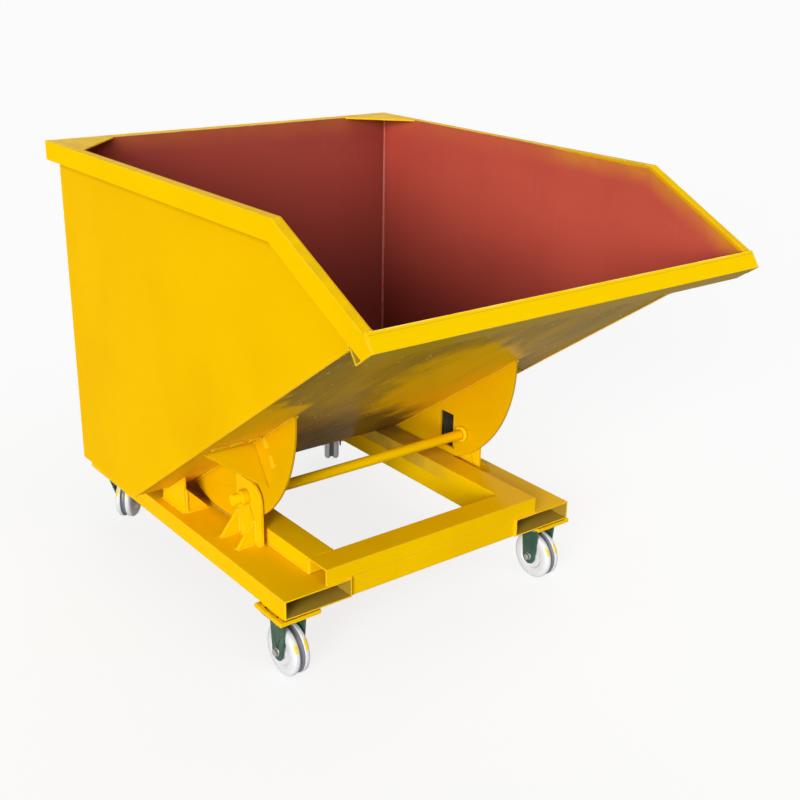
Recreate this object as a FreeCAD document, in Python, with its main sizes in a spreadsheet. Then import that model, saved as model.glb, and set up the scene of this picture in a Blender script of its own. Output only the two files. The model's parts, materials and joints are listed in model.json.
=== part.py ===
import FreeCAD, Part
import math
import os
import re
import Sketcher

# Tipping skip trolley: an open sheet-steel hopper on a pivot axle, carried by a welded base with two
# fork pockets, two fixed castors in front and two swivel castors behind.
# X runs to the right, Y to the back, Z up. The origin lies on the ground under the middle of the part.

doc = FreeCAD.newDocument("tipping_skip_trolley")
sheet = doc.addObject("Spreadsheet::Sheet", "sizes")

# Driving dimensions in millimetres, angles in degrees.
SIZES = {
    # Hopper: overall width over the side sheets, lengths from the back sheet, heights from its floor.
    "hopper_width": 1200,
    "hopper_length": 1568,
    "hopper_height": 1008,
    "top_length": 1220,
    "lip_drop": 172,
    "flat_bottom": 366,
    "sheet_gauge": 4,
    # Rim angle around the top, and the folded lip under the pouring edge.
    "rim_overhang": 23,
    "rear_rim_overhang": 40,
    "rim_height": 56,
    "rim_gauge": 5,
    "corner_gusset_leg": 170,
    "lip_depth": 45,
    "lip_return": 75,
    # Rockers under the hopper floor, with a lock slot in the right one. Along the slope, each rocker
    # starts behind the pivot, and its gusset stands ahead of it.
    "rocker_gauge": 10,
    "rocker_chord": 704,
    "rocker_start": 338,
    "rocker_clearance": 17,
    "rocker_gap": 4,
    "lock_slot_width": 75,
    "lock_slot_height": 118,
    "lock_slot_back": 79.5,
    "lock_slot_drop": 10,
    "rocker_gusset_place": 106,
    "rocker_gusset_width": 158,
    "rocker_gusset_depth": 140,
    "rocker_gusset_gauge": 8,
    # Pivot axle, which turns in the uprights' bosses.
    "pivot_reach": 722,
    "pivot_rise": 90,
    "axle_diameter": 32,
    "axle_clearance": 0.05,
    "axle_end": 24,
    "collar_diameter": 50,
    "collar_length": 12,
    "weld_fit": 0.1,
    # Uprights on the base.
    "upright_gap": 3,
    "upright_gauge": 12,
    "upright_width": 130,
    "upright_head": 50,
    "upright_corner": 60,
    "upright_gusset_reach": 64,
    "upright_gusset_height": 80,
    "upright_gusset_gauge": 10,
    "upright_gusset_front": 35,
    "upright_gusset_back": 57,
    "boss_diameter": 44,
    "boss_length": 28,
    # Catch plate beside the right upright, behind the lock slot.
    "catch_width": 62,
    "catch_gauge": 8,
    "catch_corner": 8,
    # Saddles that carry the bend of the hopper floor.
    "rest_gap": 0.4,
    "saddle_side_inset": 36,
    "saddle_gauge": 10,
    "saddle_reach": 104,
    "saddle_heel": 36,
    "saddle_gusset_reach": 75,
    "saddle_gusset_height": 80,
    "saddle_gusset_gauge": 8,
    # Base: fork pockets, upper frame of channels, lower beams between the pockets.
    "base_width": 1040,
    "base_rear": 143,
    "pocket_width": 217,
    "pocket_height": 58,
    "pocket_wall": 5,
    "pocket_length": 1225,
    "frame_side_inset": 135,
    "channel_width": 84,
    "channel_height": 48,
    "channel_wall": 5,
    "channel_setback": 7,
    "beam_width": 80,
    "beam_setback": 8,
    # Castors: mounting pads, forks, axle bolts, wheels and swivel heads.
    "castor_side_inset": 52,
    "castor_inset": 70.5,
    "rear_castor_side_inset": 88,
    "rear_castor_inset": 49,
    "packer_height": 6,
    "packer_inset": 15,
    "pad_width": 130,
    "pad_length": 135,
    "pad_gauge": 12,
    "flange_width": 122,
    "flange_length": 85,
    "flange_gauge": 6,
    "bolt_across": 98,
    "bolt_along": 60,
    "bolt_diameter": 10,
    "bolt_clearance": 0.25,
    "bolt_head_flats": 16,
    "bolt_head_height": 6.5,
    "fork_headroom": 37,
    "fork_gauge": 6,
    "fork_top": 75,
    "fork_eye": 26,
    "hub_clearance": 0.5,
    "wheel_diameter": 150,
    "wheel_width": 56,
    "wheel_bore_clearance": 0.05,
    "hub_diameter": 42,
    "hub_step": 2,
    "dish_diameter": 88,
    "dish_depth": 6,
    "tread_groove": 8,
    "bush_diameter": 20,
    "axle_bolt_diameter": 12,
    "axle_bolt_flats": 19,
    "axle_bolt_head": 11,
    "race_diameter": 70,
    "race_height": 8,
    "swivel_gap": 0.3,
    "crown_gauge": 6,
    "kingpin_diameter": 16,
    "kingpin_clearance": 0.05,
    "kingpin_nut_diameter": 26,
    "kingpin_nut_height": 10,
    "trail": 50,
    "left_swivel": -45,
    "right_swivel": -34,
}

# Values worked out from the driving dimensions.
DERIVED = {
    "half_width": "hopper_width / 2",
    "wheel_radius": "wheel_diameter / 2",
    "flange_bottom": "wheel_diameter + fork_headroom",
    "flange_top": "flange_bottom + flange_gauge",
    "pad_top": "flange_top + pad_gauge",
    "pocket_bottom": "pad_top + packer_height",
    "pocket_top": "pocket_bottom + pocket_height",
    "frame_top": "pocket_top + channel_height",
    "hopper_bottom": "frame_top + rest_gap",
    "hopper_top": "hopper_bottom + hopper_height",
    "lip_level": "hopper_top - lip_drop",
    # Floor slope, as the run and rise of its underside.
    "slope_run": "hopper_length - flat_bottom",
    "slope_rise": "hopper_height - lip_drop",
    "slope_length": "sqrt(slope_run^2 + slope_rise^2)",
    "slope_cos": "slope_run / slope_length",
    "slope_sin": "slope_rise / slope_length",
    "slope_angle": "atan(slope_rise / slope_run)",
    "floor_bend": "sheet_gauge * (1 - slope_cos) / slope_sin",
    # Where the floor ends behind the lip's front plate: its underside, and the nose on its top.
    "sheet_end": "hopper_length - rim_gauge * slope_cos",
    "sheet_end_level": "lip_level - rim_gauge * slope_sin",
    "nose_reach": "sheet_end - sheet_gauge * slope_sin",
    "nose_level": "sheet_end_level + sheet_gauge * slope_cos",
    # Slant of the side sheets' top edge down to the nose, and its angle with the floor slope.
    "slant_run": "nose_reach - top_length",
    "slant_drop": "hopper_top - nose_level",
    "slant_length": "sqrt(slant_run^2 + slant_drop^2)",
    "slant_cos": "slant_run / slant_length",
    "slant_sin": "slant_drop / slant_length",
    "slant_bend": "(1 - slant_cos) / slant_sin",
    "nose_cos": "slant_cos * slope_cos - slant_sin * slope_sin",
    "nose_sin": "slant_sin * slope_cos + slant_cos * slope_sin",
    # How far past the nose the rim's leg runs on to the lip's lower edge.
    "leg_cut": "(lip_depth + sheet_gauge - rim_height * nose_cos) / nose_sin",
    # Plan positions forward of the back sheet.
    "pocket_front": "pocket_length - base_rear",
    "front_castor": "pocket_front - castor_inset",
    "rear_castor": "base_rear - rear_castor_inset",
    "castor_side": "base_width / 2 - castor_side_inset",
    "rear_castor_side": "base_width / 2 - rear_castor_side_inset",
    "saddle_side": "base_width / 2 - saddle_side_inset",
    "saddle_front": "flat_bottom + saddle_reach",
    "saddle_crest": "frame_top + saddle_reach * slope_rise / slope_run",
    "pocket_inner": "base_width / 2 - pocket_width",
    "frame_half": "base_width / 2 - frame_side_inset",
    "rocker_inner": "frame_half + rocker_gap",
    "rocker_outer": "rocker_inner + rocker_gauge",
    "upright_inner": "rocker_outer + upright_gap",
    "upright_outer": "upright_inner + upright_gauge",
    "axle_half": "upright_outer + boss_length + axle_end",
    "axle_bore": "axle_diameter / 2 + axle_clearance",
    "pivot_level": "frame_top + pivot_rise",
    # Distances along the floor slope from its bend: the pivot's foot, and the rocker's two ends.
    "pivot_along": "(pivot_reach - flat_bottom) * slope_cos + (pivot_level - hopper_bottom) * slope_sin",
    "rocker_rear": "pivot_along - rocker_start",
    "rocker_front": "rocker_rear + rocker_chord",
    "rocker_middle": "rocker_rear + rocker_chord / 2",
    # The rocker's arc clears the pocket tops by rocker_clearance at its lowest point.
    "rocker_drop": "hopper_bottom + rocker_middle * slope_sin - pocket_top - rocker_clearance",
    "rocker_half_rise": "rocker_chord * slope_sin / 2",
    "rocker_depth": "(rocker_drop + sqrt(rocker_drop^2 - rocker_half_rise^2)) / (1 + slope_cos)",
    "rocker_radius": "(rocker_chord^2 / 4 + rocker_depth^2) / (2 * rocker_depth)",
    "rocker_centre": "rocker_radius - rocker_depth",
    # Castor insides.
    "hub_half": "wheel_width / 2 + hub_step",
    "fork_inner": "hub_half + hub_clearance",
    "fork_outer": "fork_inner + fork_gauge",
    "wheel_bore": "bush_diameter / 2 + wheel_bore_clearance",
    "axle_bolt_bore": "axle_bolt_diameter / 2 + weld_fit",
    "bolt_hole": "bolt_diameter / 2 + bolt_clearance",
    "race_bottom": "flange_bottom - race_height",
    "crown_bottom": "race_bottom - swivel_gap - crown_gauge",
    "nut_bottom": "crown_bottom - swivel_gap - kingpin_nut_height",
    "left_wheel_half": "wheel_radius * abs(cos(left_swivel)) + wheel_width / 2 * abs(sin(left_swivel))",
    "right_wheel_half": "wheel_radius * abs(cos(right_swivel)) + wheel_width / 2 * abs(sin(right_swivel))",
    "left_rear_reach": "trail * cos(left_swivel) + left_wheel_half",
    "right_rear_reach": "trail * cos(right_swivel) + right_wheel_half",
    # The back sheet's place, which puts the origin under the middle of the whole part.
    "front_reach": "hopper_length + lip_depth * slope_sin",
    "rear_reach": "rear_castor + max(left_rear_reach; right_rear_reach)",
    "back_y": "(front_reach - rear_reach) / 2",
}

FULL_TURN = 360
AXIS_X = FreeCAD.Vector(1, 0, 0)
AXIS_Y = FreeCAD.Vector(0, 1, 0)
AXIS_Z = FreeCAD.Vector(0, 0, 1)
SIDES = {"left": -1, "right": 1}


def fill_sheet():
    """Write the driving dimensions, then the formulas, one per row with an alias."""
    row = 0
    for name, size in SIZES.items():
        row += 1
        sheet.set(f"A{row}", name)
        sheet.set(f"B{row}", str(size))
        sheet.setAlias(f"B{row}", name)
    for name, formula in DERIVED.items():
        row += 1
        sheet.set(f"A{row}", name)
        sheet.set(f"B{row}", "=" + formula)
        sheet.setAlias(f"B{row}", name)
    doc.recompute()


def bound(text):
    """The expression with every size name pointed at the sheet."""
    def point(match):
        word = match.group()
        known = word in SIZES or word in DERIVED
        return "sizes." + word if known else word
    return re.sub(r"[a-z_]+", point, str(text))


def value(text):
    """The expression's number, used to draw a sketch near its final form."""
    number = sheet.evalExpression(bound(text))
    return float(getattr(number, "Value", number))


def bind(item, prop, text):
    item.setExpression(prop, bound(text))


def place(item, x, y, z, axis=None, angle="0"):
    """Bind an object's position, and its turn about one axis."""
    if axis is not None:
        item.Placement = FreeCAD.Placement(FreeCAD.Vector(), FreeCAD.Rotation(axis, value(angle)))
        bind(item, "Placement.Rotation.Angle", angle)
    bind(item, "Placement.Base.x", x)
    bind(item, "Placement.Base.y", y)
    bind(item, "Placement.Base.z", z)


def circle(x, y, radius):
    return {"centre": (x, y), "radius": radius}


def outline(points, arcs=None):
    """A closed outline. arcs maps an edge's number to (axis, centre on that axis, turn)."""
    return {"points": points, "arcs": arcs or {}}


def rectangle(x0, y0, x1, y1):
    return outline([(x0, y0), (x1, y0), (x1, y1), (x0, y1)])


def fix(sketch, axis, edge, end, text):
    """Dimension one point of an edge from the sketch's origin."""
    constraint = Sketcher.Constraint("Distance" + axis, -1, 1, edge, end, value(text))
    number = sketch.addConstraint(constraint)
    bind(sketch, f"Constraints[{number}]", text)


def draw_circle(sketch, loop):
    x, y = loop["centre"]
    centre = FreeCAD.Vector(value(x), value(y), 0)
    edge = sketch.addGeometry(Part.Circle(centre, AXIS_Z, value(loop["radius"])), False)
    fix(sketch, "X", edge, 3, x)
    fix(sketch, "Y", edge, 3, y)
    number = sketch.addConstraint(Sketcher.Constraint("Radius", edge, value(loop["radius"])))
    bind(sketch, f"Constraints[{number}]", loop["radius"])


def arc_between(start, finish, axis, centre_text, turn):
    """The arc from start to finish whose centre has the given coordinate on one axis."""
    middle = (start + finish) / 2
    across = AXIS_Z.cross(finish - start)
    known = value(centre_text)
    if axis == "X":
        centre = middle + across * ((known - middle.x) / across.x)
    else:
        centre = middle + across * ((known - middle.y) / across.y)
    ring = Part.Circle(centre, AXIS_Z, (start - centre).Length)
    from_angle = math.atan2(start.y - centre.y, start.x - centre.x)
    to_angle = math.atan2(finish.y - centre.y, finish.x - centre.x)
    if turn == "left":
        return Part.ArcOfCircle(ring, from_angle, to_angle)
    return Part.ArcOfCircle(ring, to_angle, from_angle)


def draw_outline(sketch, loop):
    """Straight edges and arcs from point to point, each point dimensioned from the origin."""
    points = loop["points"]
    spots = [FreeCAD.Vector(value(x), value(y), 0) for x, y in points]
    edges = []
    for number, start in enumerate(spots):
        finish = spots[(number + 1) % len(spots)]
        ends = (1, 2)
        if number in loop["arcs"]:
            axis, centre_text, turn = loop["arcs"][number]
            curve = arc_between(start, finish, axis, centre_text, turn)
            if turn == "right":
                ends = (2, 1)
        else:
            curve = Part.LineSegment(start, finish)
        edges.append((sketch.addGeometry(curve, False), ends))
    for number, (edge, ends) in enumerate(edges):
        following, following_ends = edges[(number + 1) % len(edges)]
        sketch.addConstraint(Sketcher.Constraint("Coincident", edge, ends[1], following, following_ends[0]))
    for (edge, ends), (x, y) in zip(edges, points):
        fix(sketch, "X", edge, ends[0], x)
        fix(sketch, "Y", edge, ends[0], y)
    for number, (axis, centre_text, turn) in loop["arcs"].items():
        fix(sketch, axis, edges[number][0], 3, centre_text)


def sketch_on(body, plane, offset, loops):
    """A sketch on one of the body's own planes, moved along that plane's normal."""
    planes = {feature.Role: feature for feature in body.Origin.OriginFeatures if hasattr(feature, "Role")}
    sketch = body.newObject("Sketcher::SketchObject", body.Name + "_sketch")
    sketch.AttachmentSupport = [(planes[plane + "_Plane"], "")]
    sketch.MapMode = "FlatFace"
    bind(sketch, "AttachmentOffset.Base.z", offset)
    for loop in loops:
        if "centre" in loop:
            draw_circle(sketch, loop)
        else:
            draw_outline(sketch, loop)
    return sketch


def new_body(label):
    body = doc.addObject("PartDesign::Body", label)
    body.Label = label
    return body


def padded(label, *pads):
    """A body of one or more pads, each given as (plane, offset, length, loops)."""
    body = new_body(label)
    for plane, offset, length, loops in pads:
        pad = body.newObject("PartDesign::Pad", label + "_pad")
        pad.Profile = sketch_on(body, plane, offset, loops)
        bind(pad, "Length", length)
    return body


def turned(label, points):
    """A body of revolution about its own Z, from an outline of radius and height."""
    body = new_body(label)
    sketch = sketch_on(body, "XZ", "0", [outline(points)])
    revolution = body.newObject("PartDesign::Revolution", label + "_turn")
    revolution.Profile = sketch
    revolution.ReferenceAxis = (sketch, ["V_Axis"])
    revolution.Angle = FULL_TURN
    return body


def box(label, x, y, z, length, width, height):
    item = doc.addObject("Part::Box", label)
    item.Label = label
    bind(item, "Length", length)
    bind(item, "Width", width)
    bind(item, "Height", height)
    place(item, x, y, z)
    return item


def cylinder(label, radius, height):
    item = doc.addObject("Part::Cylinder", label)
    bind(item, "Radius", radius)
    bind(item, "Height", height)
    return item


def hexagon(label, flats, height):
    """A hexagonal prism, given its width across flats."""
    item = doc.addObject("Part::Prism", label)
    item.Polygon = 6
    bind(item, "Circumradius", f"{flats} / 2 / cos(30)")
    bind(item, "Height", height)
    return item


def joined(kind, label, members):
    """Pieces gathered under one label: welded into one with Part::MultiFuse, or kept as a set."""
    item = doc.addObject(kind, label)
    item.Label = label
    if kind == "Part::MultiFuse":
        item.Shapes = members
    else:
        item.Links = members
    return item


def mirrored_start(sign, inner, thickness):
    """Where a plate starts along X, so that both sides' plates lie the same way from the middle."""
    return inner if sign > 0 else f"-({inner} + {thickness})"


# Hopper

def side_sheet(side, sign):
    body = padded(f"{side}_side_sheet", ("YZ", "0", "sheet_gauge", [outline([
        ("0", "hopper_bottom"),
        ("-flat_bottom", "hopper_bottom"),
        ("-sheet_end", "sheet_end_level"),
        ("-nose_reach", "nose_level"),
        ("-top_length", "hopper_top"),
        ("0", "hopper_top"),
    ])]))
    place(body, mirrored_start(sign, "half_width - sheet_gauge", "sheet_gauge"), "back_y", "0")
    return body


def back_sheet():
    return box("back_sheet", "sheet_gauge - half_width", "back_y - sheet_gauge", "hopper_bottom",
               "hopper_width - 2 * sheet_gauge", "sheet_gauge", "hopper_height")


def floor_sheet():
    """Flat bottom and slope, folded from one sheet between the side sheets."""
    body = padded("floor_sheet", ("YZ", "0", "hopper_width - 2 * sheet_gauge", [outline([
        ("-sheet_gauge", "hopper_bottom"),
        ("-flat_bottom", "hopper_bottom"),
        ("-sheet_end", "sheet_end_level"),
        ("-nose_reach", "nose_level"),
        ("floor_bend - flat_bottom", "hopper_bottom + sheet_gauge"),
        ("-sheet_gauge", "hopper_bottom + sheet_gauge"),
    ])]))
    place(body, "sheet_gauge - half_width", "back_y", "0")
    return body


def side_rim(side, sign):
    """Angle section along a side's top edge and down its slant: a level flange and a hanging leg."""
    leg = outline([
        ("rear_rim_overhang", "hopper_top - rim_height"),
        ("rim_height * slant_bend - top_length", "hopper_top - rim_height"),
        ("rim_height * slant_sin - leg_cut * slant_cos - nose_reach",
         "nose_level - rim_height * slant_cos - leg_cut * slant_sin"),
        ("-front_reach", "lip_level - lip_depth * slope_cos"),
        ("sheet_gauge * slope_sin - hopper_length", "lip_level + sheet_gauge * slope_cos"),
        ("-nose_reach", "nose_level"),
        ("-top_length", "hopper_top"),
        ("rear_rim_overhang", "hopper_top"),
    ])
    flange = outline([
        ("0", "hopper_top - rim_gauge"),
        ("rim_gauge * slant_bend - top_length", "hopper_top - rim_gauge"),
        ("rim_gauge * slant_sin - nose_reach", "nose_level - rim_gauge * slant_cos"),
        ("-nose_reach", "nose_level"),
        ("-top_length", "hopper_top"),
        ("0", "hopper_top"),
    ])
    width = "rim_overhang - rim_gauge"
    body = padded(f"{side}_rim",
                  ("YZ", mirrored_start(sign, "half_width", width), width, [flange]),
                  ("YZ", mirrored_start(sign, f"half_width + {width}", "rim_gauge"), "rim_gauge", [leg]))
    place(body, "0", "back_y", "0")
    return body


def rear_rim():
    body = padded("rear_rim", ("YZ", "0", "2 * (half_width + rim_overhang - rim_gauge)", [outline([
        ("0", "hopper_top - rim_gauge"),
        ("rear_rim_overhang - rim_gauge", "hopper_top - rim_gauge"),
        ("rear_rim_overhang - rim_gauge", "hopper_top - rim_height"),
        ("rear_rim_overhang", "hopper_top - rim_height"),
        ("rear_rim_overhang", "hopper_top"),
        ("0", "hopper_top"),
    ])]))
    place(body, "rim_gauge - half_width - rim_overhang", "back_y", "0")
    return body


def front_lip():
    """Channel folded under the pouring edge, square to the floor slope and open at both ends."""
    body = padded("front_lip", ("YZ", "0", "2 * (half_width + rim_overhang - rim_gauge)", [outline([
        ("0", "sheet_gauge"),
        ("0", "-lip_depth"),
        ("lip_return", "-lip_depth"),
        ("lip_return", "0"),
        ("lip_return - rim_gauge", "0"),
        ("lip_return - rim_gauge", "rim_gauge - lip_depth"),
        ("rim_gauge", "rim_gauge - lip_depth"),
        ("rim_gauge", "sheet_gauge"),
    ])]))
    place(body, "rim_gauge - half_width - rim_overhang", "back_y - hopper_length", "lip_level",
          AXIS_X, "-slope_angle")
    return body


def corner_gussets():
    """Flat triangles across the two rear top corners, flush with the rim."""
    pieces = []
    for side, sign in SIDES.items():
        wall = f"{sign} * (half_width - sheet_gauge)"
        inward = f"{sign} * (half_width - sheet_gauge - corner_gusset_leg)"
        body = padded(f"{side}_corner_gusset", ("XY", "0", "rim_gauge", [outline([
            (wall, "-sheet_gauge"),
            (inward, "-sheet_gauge"),
            (wall, "-sheet_gauge - corner_gusset_leg"),
        ])]))
        place(body, "0", "back_y", "hopper_top - rim_gauge")
        pieces.append(body)
    return joined("Part::Compound", "corner_gussets", pieces)


def lock_slot():
    """Upright square-cut slot behind the pivot axle."""
    near = "lock_slot_back - lock_slot_width / 2 - pivot_reach"
    far = "lock_slot_back + lock_slot_width / 2 - pivot_reach"
    top = "pivot_level - lock_slot_drop + lock_slot_height / 2"
    foot = "pivot_level - lock_slot_drop - lock_slot_height / 2"
    return rectangle(near, foot, far, top)


def rocker(side, sign):
    """Plate under the floor slope, cut to an arc below, that carries the hopper on the pivot axle."""
    arc_centre = "hopper_bottom + rocker_middle * slope_sin + rocker_centre * slope_cos"
    edge = outline([
        ("-flat_bottom - rocker_rear * slope_cos", "hopper_bottom + rocker_rear * slope_sin"),
        ("-flat_bottom - rocker_front * slope_cos", "hopper_bottom + rocker_front * slope_sin"),
    ], {1: ("Y", arc_centre, "left")})
    loops = [edge, circle("-pivot_reach", "pivot_level", "axle_diameter / 2 + weld_fit")]
    if side == "right":
        loops.append(lock_slot())
    body = padded(f"{side}_rocker", ("YZ", "0", "rocker_gauge", loops))
    place(body, mirrored_start(sign, "rocker_inner", "rocker_gauge"), "back_y", "0")
    return body


def rocker_gusset(side, sign):
    """Triangle outside a rocker, square to the floor slope."""
    inner = f"{sign} * rocker_outer"
    outer = f"{sign} * (rocker_outer + rocker_gusset_width)"
    along = "(pivot_along + rocker_gusset_place - rocker_gusset_gauge / 2)"
    body = padded(f"{side}_rocker_gusset", ("XZ", "0", "rocker_gusset_gauge", [outline([
        (inner, "0"),
        (outer, "0"),
        (inner, "-rocker_gusset_depth"),
    ])]))
    place(body, "0", f"back_y - flat_bottom - {along} * slope_cos", f"hopper_bottom + {along} * slope_sin",
          AXIS_X, "-slope_angle")
    return body


def pivot_axle():
    body = padded("pivot_axle", ("YZ", "0", "2 * axle_half", [circle("0", "0", "axle_diameter / 2")]))
    place(body, "-axle_half", "back_y - pivot_reach", "pivot_level")
    return body


def axle_collars():
    """Rings on the axle against the rockers' inner faces."""
    pieces = []
    for side, sign in SIDES.items():
        ring = [circle("0", "0", "collar_diameter / 2"), circle("0", "0", "axle_diameter / 2 + weld_fit")]
        body = padded(f"{side}_axle_collar", ("YZ", "0", "collar_length", ring))
        start = mirrored_start(sign, "rocker_inner - collar_length", "collar_length")
        place(body, start, "back_y - pivot_reach", "pivot_level")
        pieces.append(body)
    return joined("Part::Compound", "axle_collars", pieces)


# Base

def fork_pocket(side, sign):
    """Rectangular tube, open at both ends, that takes one fork of a lift truck."""
    inner = f"{sign} * pocket_inner"
    outer = f"{sign} * base_width / 2"
    body = padded(f"{side}_fork_pocket", ("XZ", "0", "pocket_length", [
        rectangle(inner, "pocket_bottom", outer, "pocket_top"),
        rectangle(f"{sign} * (pocket_inner + pocket_wall)", "pocket_bottom + pocket_wall",
                  f"{sign} * (base_width / 2 - pocket_wall)", "pocket_top - pocket_wall"),
    ]))
    place(body, "0", "back_y + base_rear", "0")
    return body


def channel_section(near, far, wall):
    """Channel with its open side down, between two edges, standing on the pockets."""
    return outline([
        (near, "pocket_top"),
        (near, "frame_top"),
        (far, "frame_top"),
        (far, "pocket_top"),
        (f"{far} - {wall}", "pocket_top"),
        (f"{far} - {wall}", "frame_top - channel_wall"),
        (f"{near} + {wall}", "frame_top - channel_wall"),
        (f"{near} + {wall}", "pocket_top"),
    ])


def long_channel(side, sign):
    section = channel_section(f"{sign} * (frame_half - channel_width)", f"{sign} * frame_half",
                              f"{sign} * channel_wall")
    length = "pocket_length - 2 * channel_setback - 2 * channel_width"
    body = padded(f"{side}_frame_channel", ("XZ", "0", length, [section]))
    place(body, "0", "back_y + base_rear - channel_setback - channel_width", "0")
    return body


def cross_channel(end):
    near = {"front": "channel_setback - pocket_front",
            "rear": "base_rear - channel_setback - channel_width"}[end]
    section = channel_section(near, f"{near} + channel_width", "channel_wall")
    body = padded(f"{end}_frame_channel", ("YZ", "0", "2 * frame_half", [section]))
    place(body, "-frame_half", "back_y", "0")
    return body


def lower_beam(end):
    """Rectangular tube between the pockets' inner walls."""
    near = {"front": "beam_setback - pocket_front", "rear": "base_rear - beam_setback - beam_width"}[end]
    body = padded(f"{end}_lower_beam", ("YZ", "0", "2 * pocket_inner", [
        rectangle(near, "pocket_bottom", f"{near} + beam_width", "pocket_top"),
        rectangle(f"{near} + pocket_wall", "pocket_bottom + pocket_wall",
                  f"{near} + beam_width - pocket_wall", "pocket_top - pocket_wall"),
    ]))
    place(body, "-pocket_inner", "back_y", "0")
    return body


def upright(side, sign):
    """Bearing plate on the pocket, with its front top corner rounded."""
    back = "upright_width / 2 - pivot_reach"
    front = "-upright_width / 2 - pivot_reach"
    top = "pivot_level + upright_head"
    body = padded(f"{side}_upright", ("YZ", "0", "upright_gauge", [
        outline([
            (front, "pocket_top"),
            (back, "pocket_top"),
            (back, top),
            (f"{front} + upright_corner", top),
            (front, f"{top} - upright_corner"),
        ], {3: ("X", f"{front} + upright_corner", "left")}),
        circle("-pivot_reach", "pivot_level", "axle_bore"),
    ]))
    place(body, mirrored_start(sign, "upright_inner", "upright_gauge"), "back_y", "0")
    return body


def wall_gusset(label, start, tip, height, gauge, y):
    """Upright triangle on a pocket's top, from a plate's face out to its tip, centred on y."""
    body = padded(label, ("XZ", "0", gauge, [outline([
        (start, "pocket_top"),
        (tip, "pocket_top"),
        (start, f"pocket_top + {height}"),
    ])]))
    place(body, "0", f"{y} + {gauge} / 2", "0")
    return body


def upright_gussets(side, sign):
    start = f"{sign} * upright_outer"
    tip = f"{sign} * (upright_outer + upright_gusset_reach)"
    middles = {"front": "back_y - pivot_reach - upright_gusset_front",
               "back": "back_y - pivot_reach + upright_gusset_back"}
    pieces = [wall_gusset(f"{side}_upright_{end}_gusset", start, tip, "upright_gusset_height",
                          "upright_gusset_gauge", middle) for end, middle in middles.items()]
    return joined("Part::Compound", f"{side}_upright_gussets", pieces)


def pivot_boss(side, sign):
    ring = [circle("0", "0", "boss_diameter / 2"), circle("0", "0", "axle_bore")]
    body = padded(f"{side}_pivot_boss", ("YZ", "0", "boss_length", ring))
    place(body, mirrored_start(sign, "upright_outer", "boss_length"), "back_y - pivot_reach", "pivot_level")
    return body


def lock_catch():
    """Plate against the right upright's back edge, behind the lock slot, with its rear top corner cut."""
    front = "upright_width / 2 - pivot_reach"
    back = f"{front} + catch_width"
    top = "pivot_level + upright_head"
    body = padded("lock_catch", ("YZ", "0", "catch_gauge", [outline([
        (front, "pocket_top"),
        (back, "pocket_top"),
        (back, f"{top} - catch_corner"),
        (f"{back} - catch_corner", top),
        (front, top),
    ])]))
    place(body, "upright_inner", "back_y", "0")
    return body


def rest_saddle(side, sign):
    """Plate whose top follows the bend of the hopper floor."""
    body = padded(f"{side}_rest_saddle", ("YZ", "0", "saddle_gauge", [outline([
        ("saddle_heel - flat_bottom", "pocket_top"),
        ("saddle_heel - flat_bottom", "frame_top"),
        ("-flat_bottom", "frame_top"),
        ("-saddle_front", "saddle_crest"),
        ("-saddle_front", "pocket_top"),
    ])]))
    place(body, mirrored_start(sign, "saddle_side - saddle_gauge / 2", "saddle_gauge"), "back_y", "0")
    return body


def saddle_gusset(side, sign):
    start = f"{sign} * (saddle_side - saddle_gauge / 2)"
    tip = f"{sign} * (saddle_side - saddle_gauge / 2 - saddle_gusset_reach)"
    return wall_gusset(f"{side}_saddle_gusset", start, tip, "saddle_gusset_height", "saddle_gusset_gauge",
                       "back_y - saddle_front + saddle_gusset_gauge / 2")


# Castors

def castor_places():
    """Each castor's name, with its middle in plan."""
    rows = {"front": ("castor_side", "back_y - front_castor"),
            "rear": ("rear_castor_side", "back_y + rear_castor")}
    return {f"{end}_{side}": (f"{sign} * {across}", y)
            for end, (across, y) in rows.items() for side, sign in SIDES.items()}


def bolt_spots():
    """The four bolts of a castor, from its middle."""
    return [(f"{across} * bolt_across / 2", f"{along} * bolt_along / 2")
            for across in (-1, 1) for along in (-1, 1)]


def bolt_holes():
    return [circle(x, y, "bolt_hole") for x, y in bolt_spots()]


def castor_packers(castors):
    """Packers between the pockets and the mounting pads, set in from the pads' edges."""
    pieces = [box(f"{name}_packer", f"{x} - pad_width / 2 + packer_inset", f"{y} - pad_length / 2 + packer_inset",
                  "pad_top", "pad_width - 2 * packer_inset", "pad_length - 2 * packer_inset", "packer_height")
              for name, (x, y) in castors.items()]
    return joined("Part::Compound", "castor_packers", pieces)


def castor_pad(name, x, y):
    plate = rectangle("-pad_width / 2", "-pad_length / 2", "pad_width / 2", "pad_length / 2")
    body = padded(f"{name}_castor_pad", ("XY", "0", "pad_gauge", [plate, *bolt_holes()]))
    place(body, x, y, "flange_top")
    return body


def castor_bolts(castors):
    """Hexagon bolts up through each castor's flange into its pad."""
    pieces = []
    for name, (x, y) in castors.items():
        for number, (across, along) in enumerate(bolt_spots()):
            head = hexagon(f"{name}_bolt_head_{number}", "bolt_head_flats", "bolt_head_height")
            place(head, f"{x} + {across}", f"{y} + {along}", "flange_bottom - bolt_head_height")
            shank = cylinder(f"{name}_bolt_shank_{number}", "bolt_diameter / 2", "flange_gauge + pad_gauge")
            place(shank, f"{x} + {across}", f"{y} + {along}", "flange_bottom")
            pieces += [head, shank]
    return joined("Part::MultiFuse", "castor_bolts", pieces)


def flange_plate():
    return rectangle("-flange_width / 2", "-flange_length / 2", "flange_width / 2", "flange_length / 2")


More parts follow.
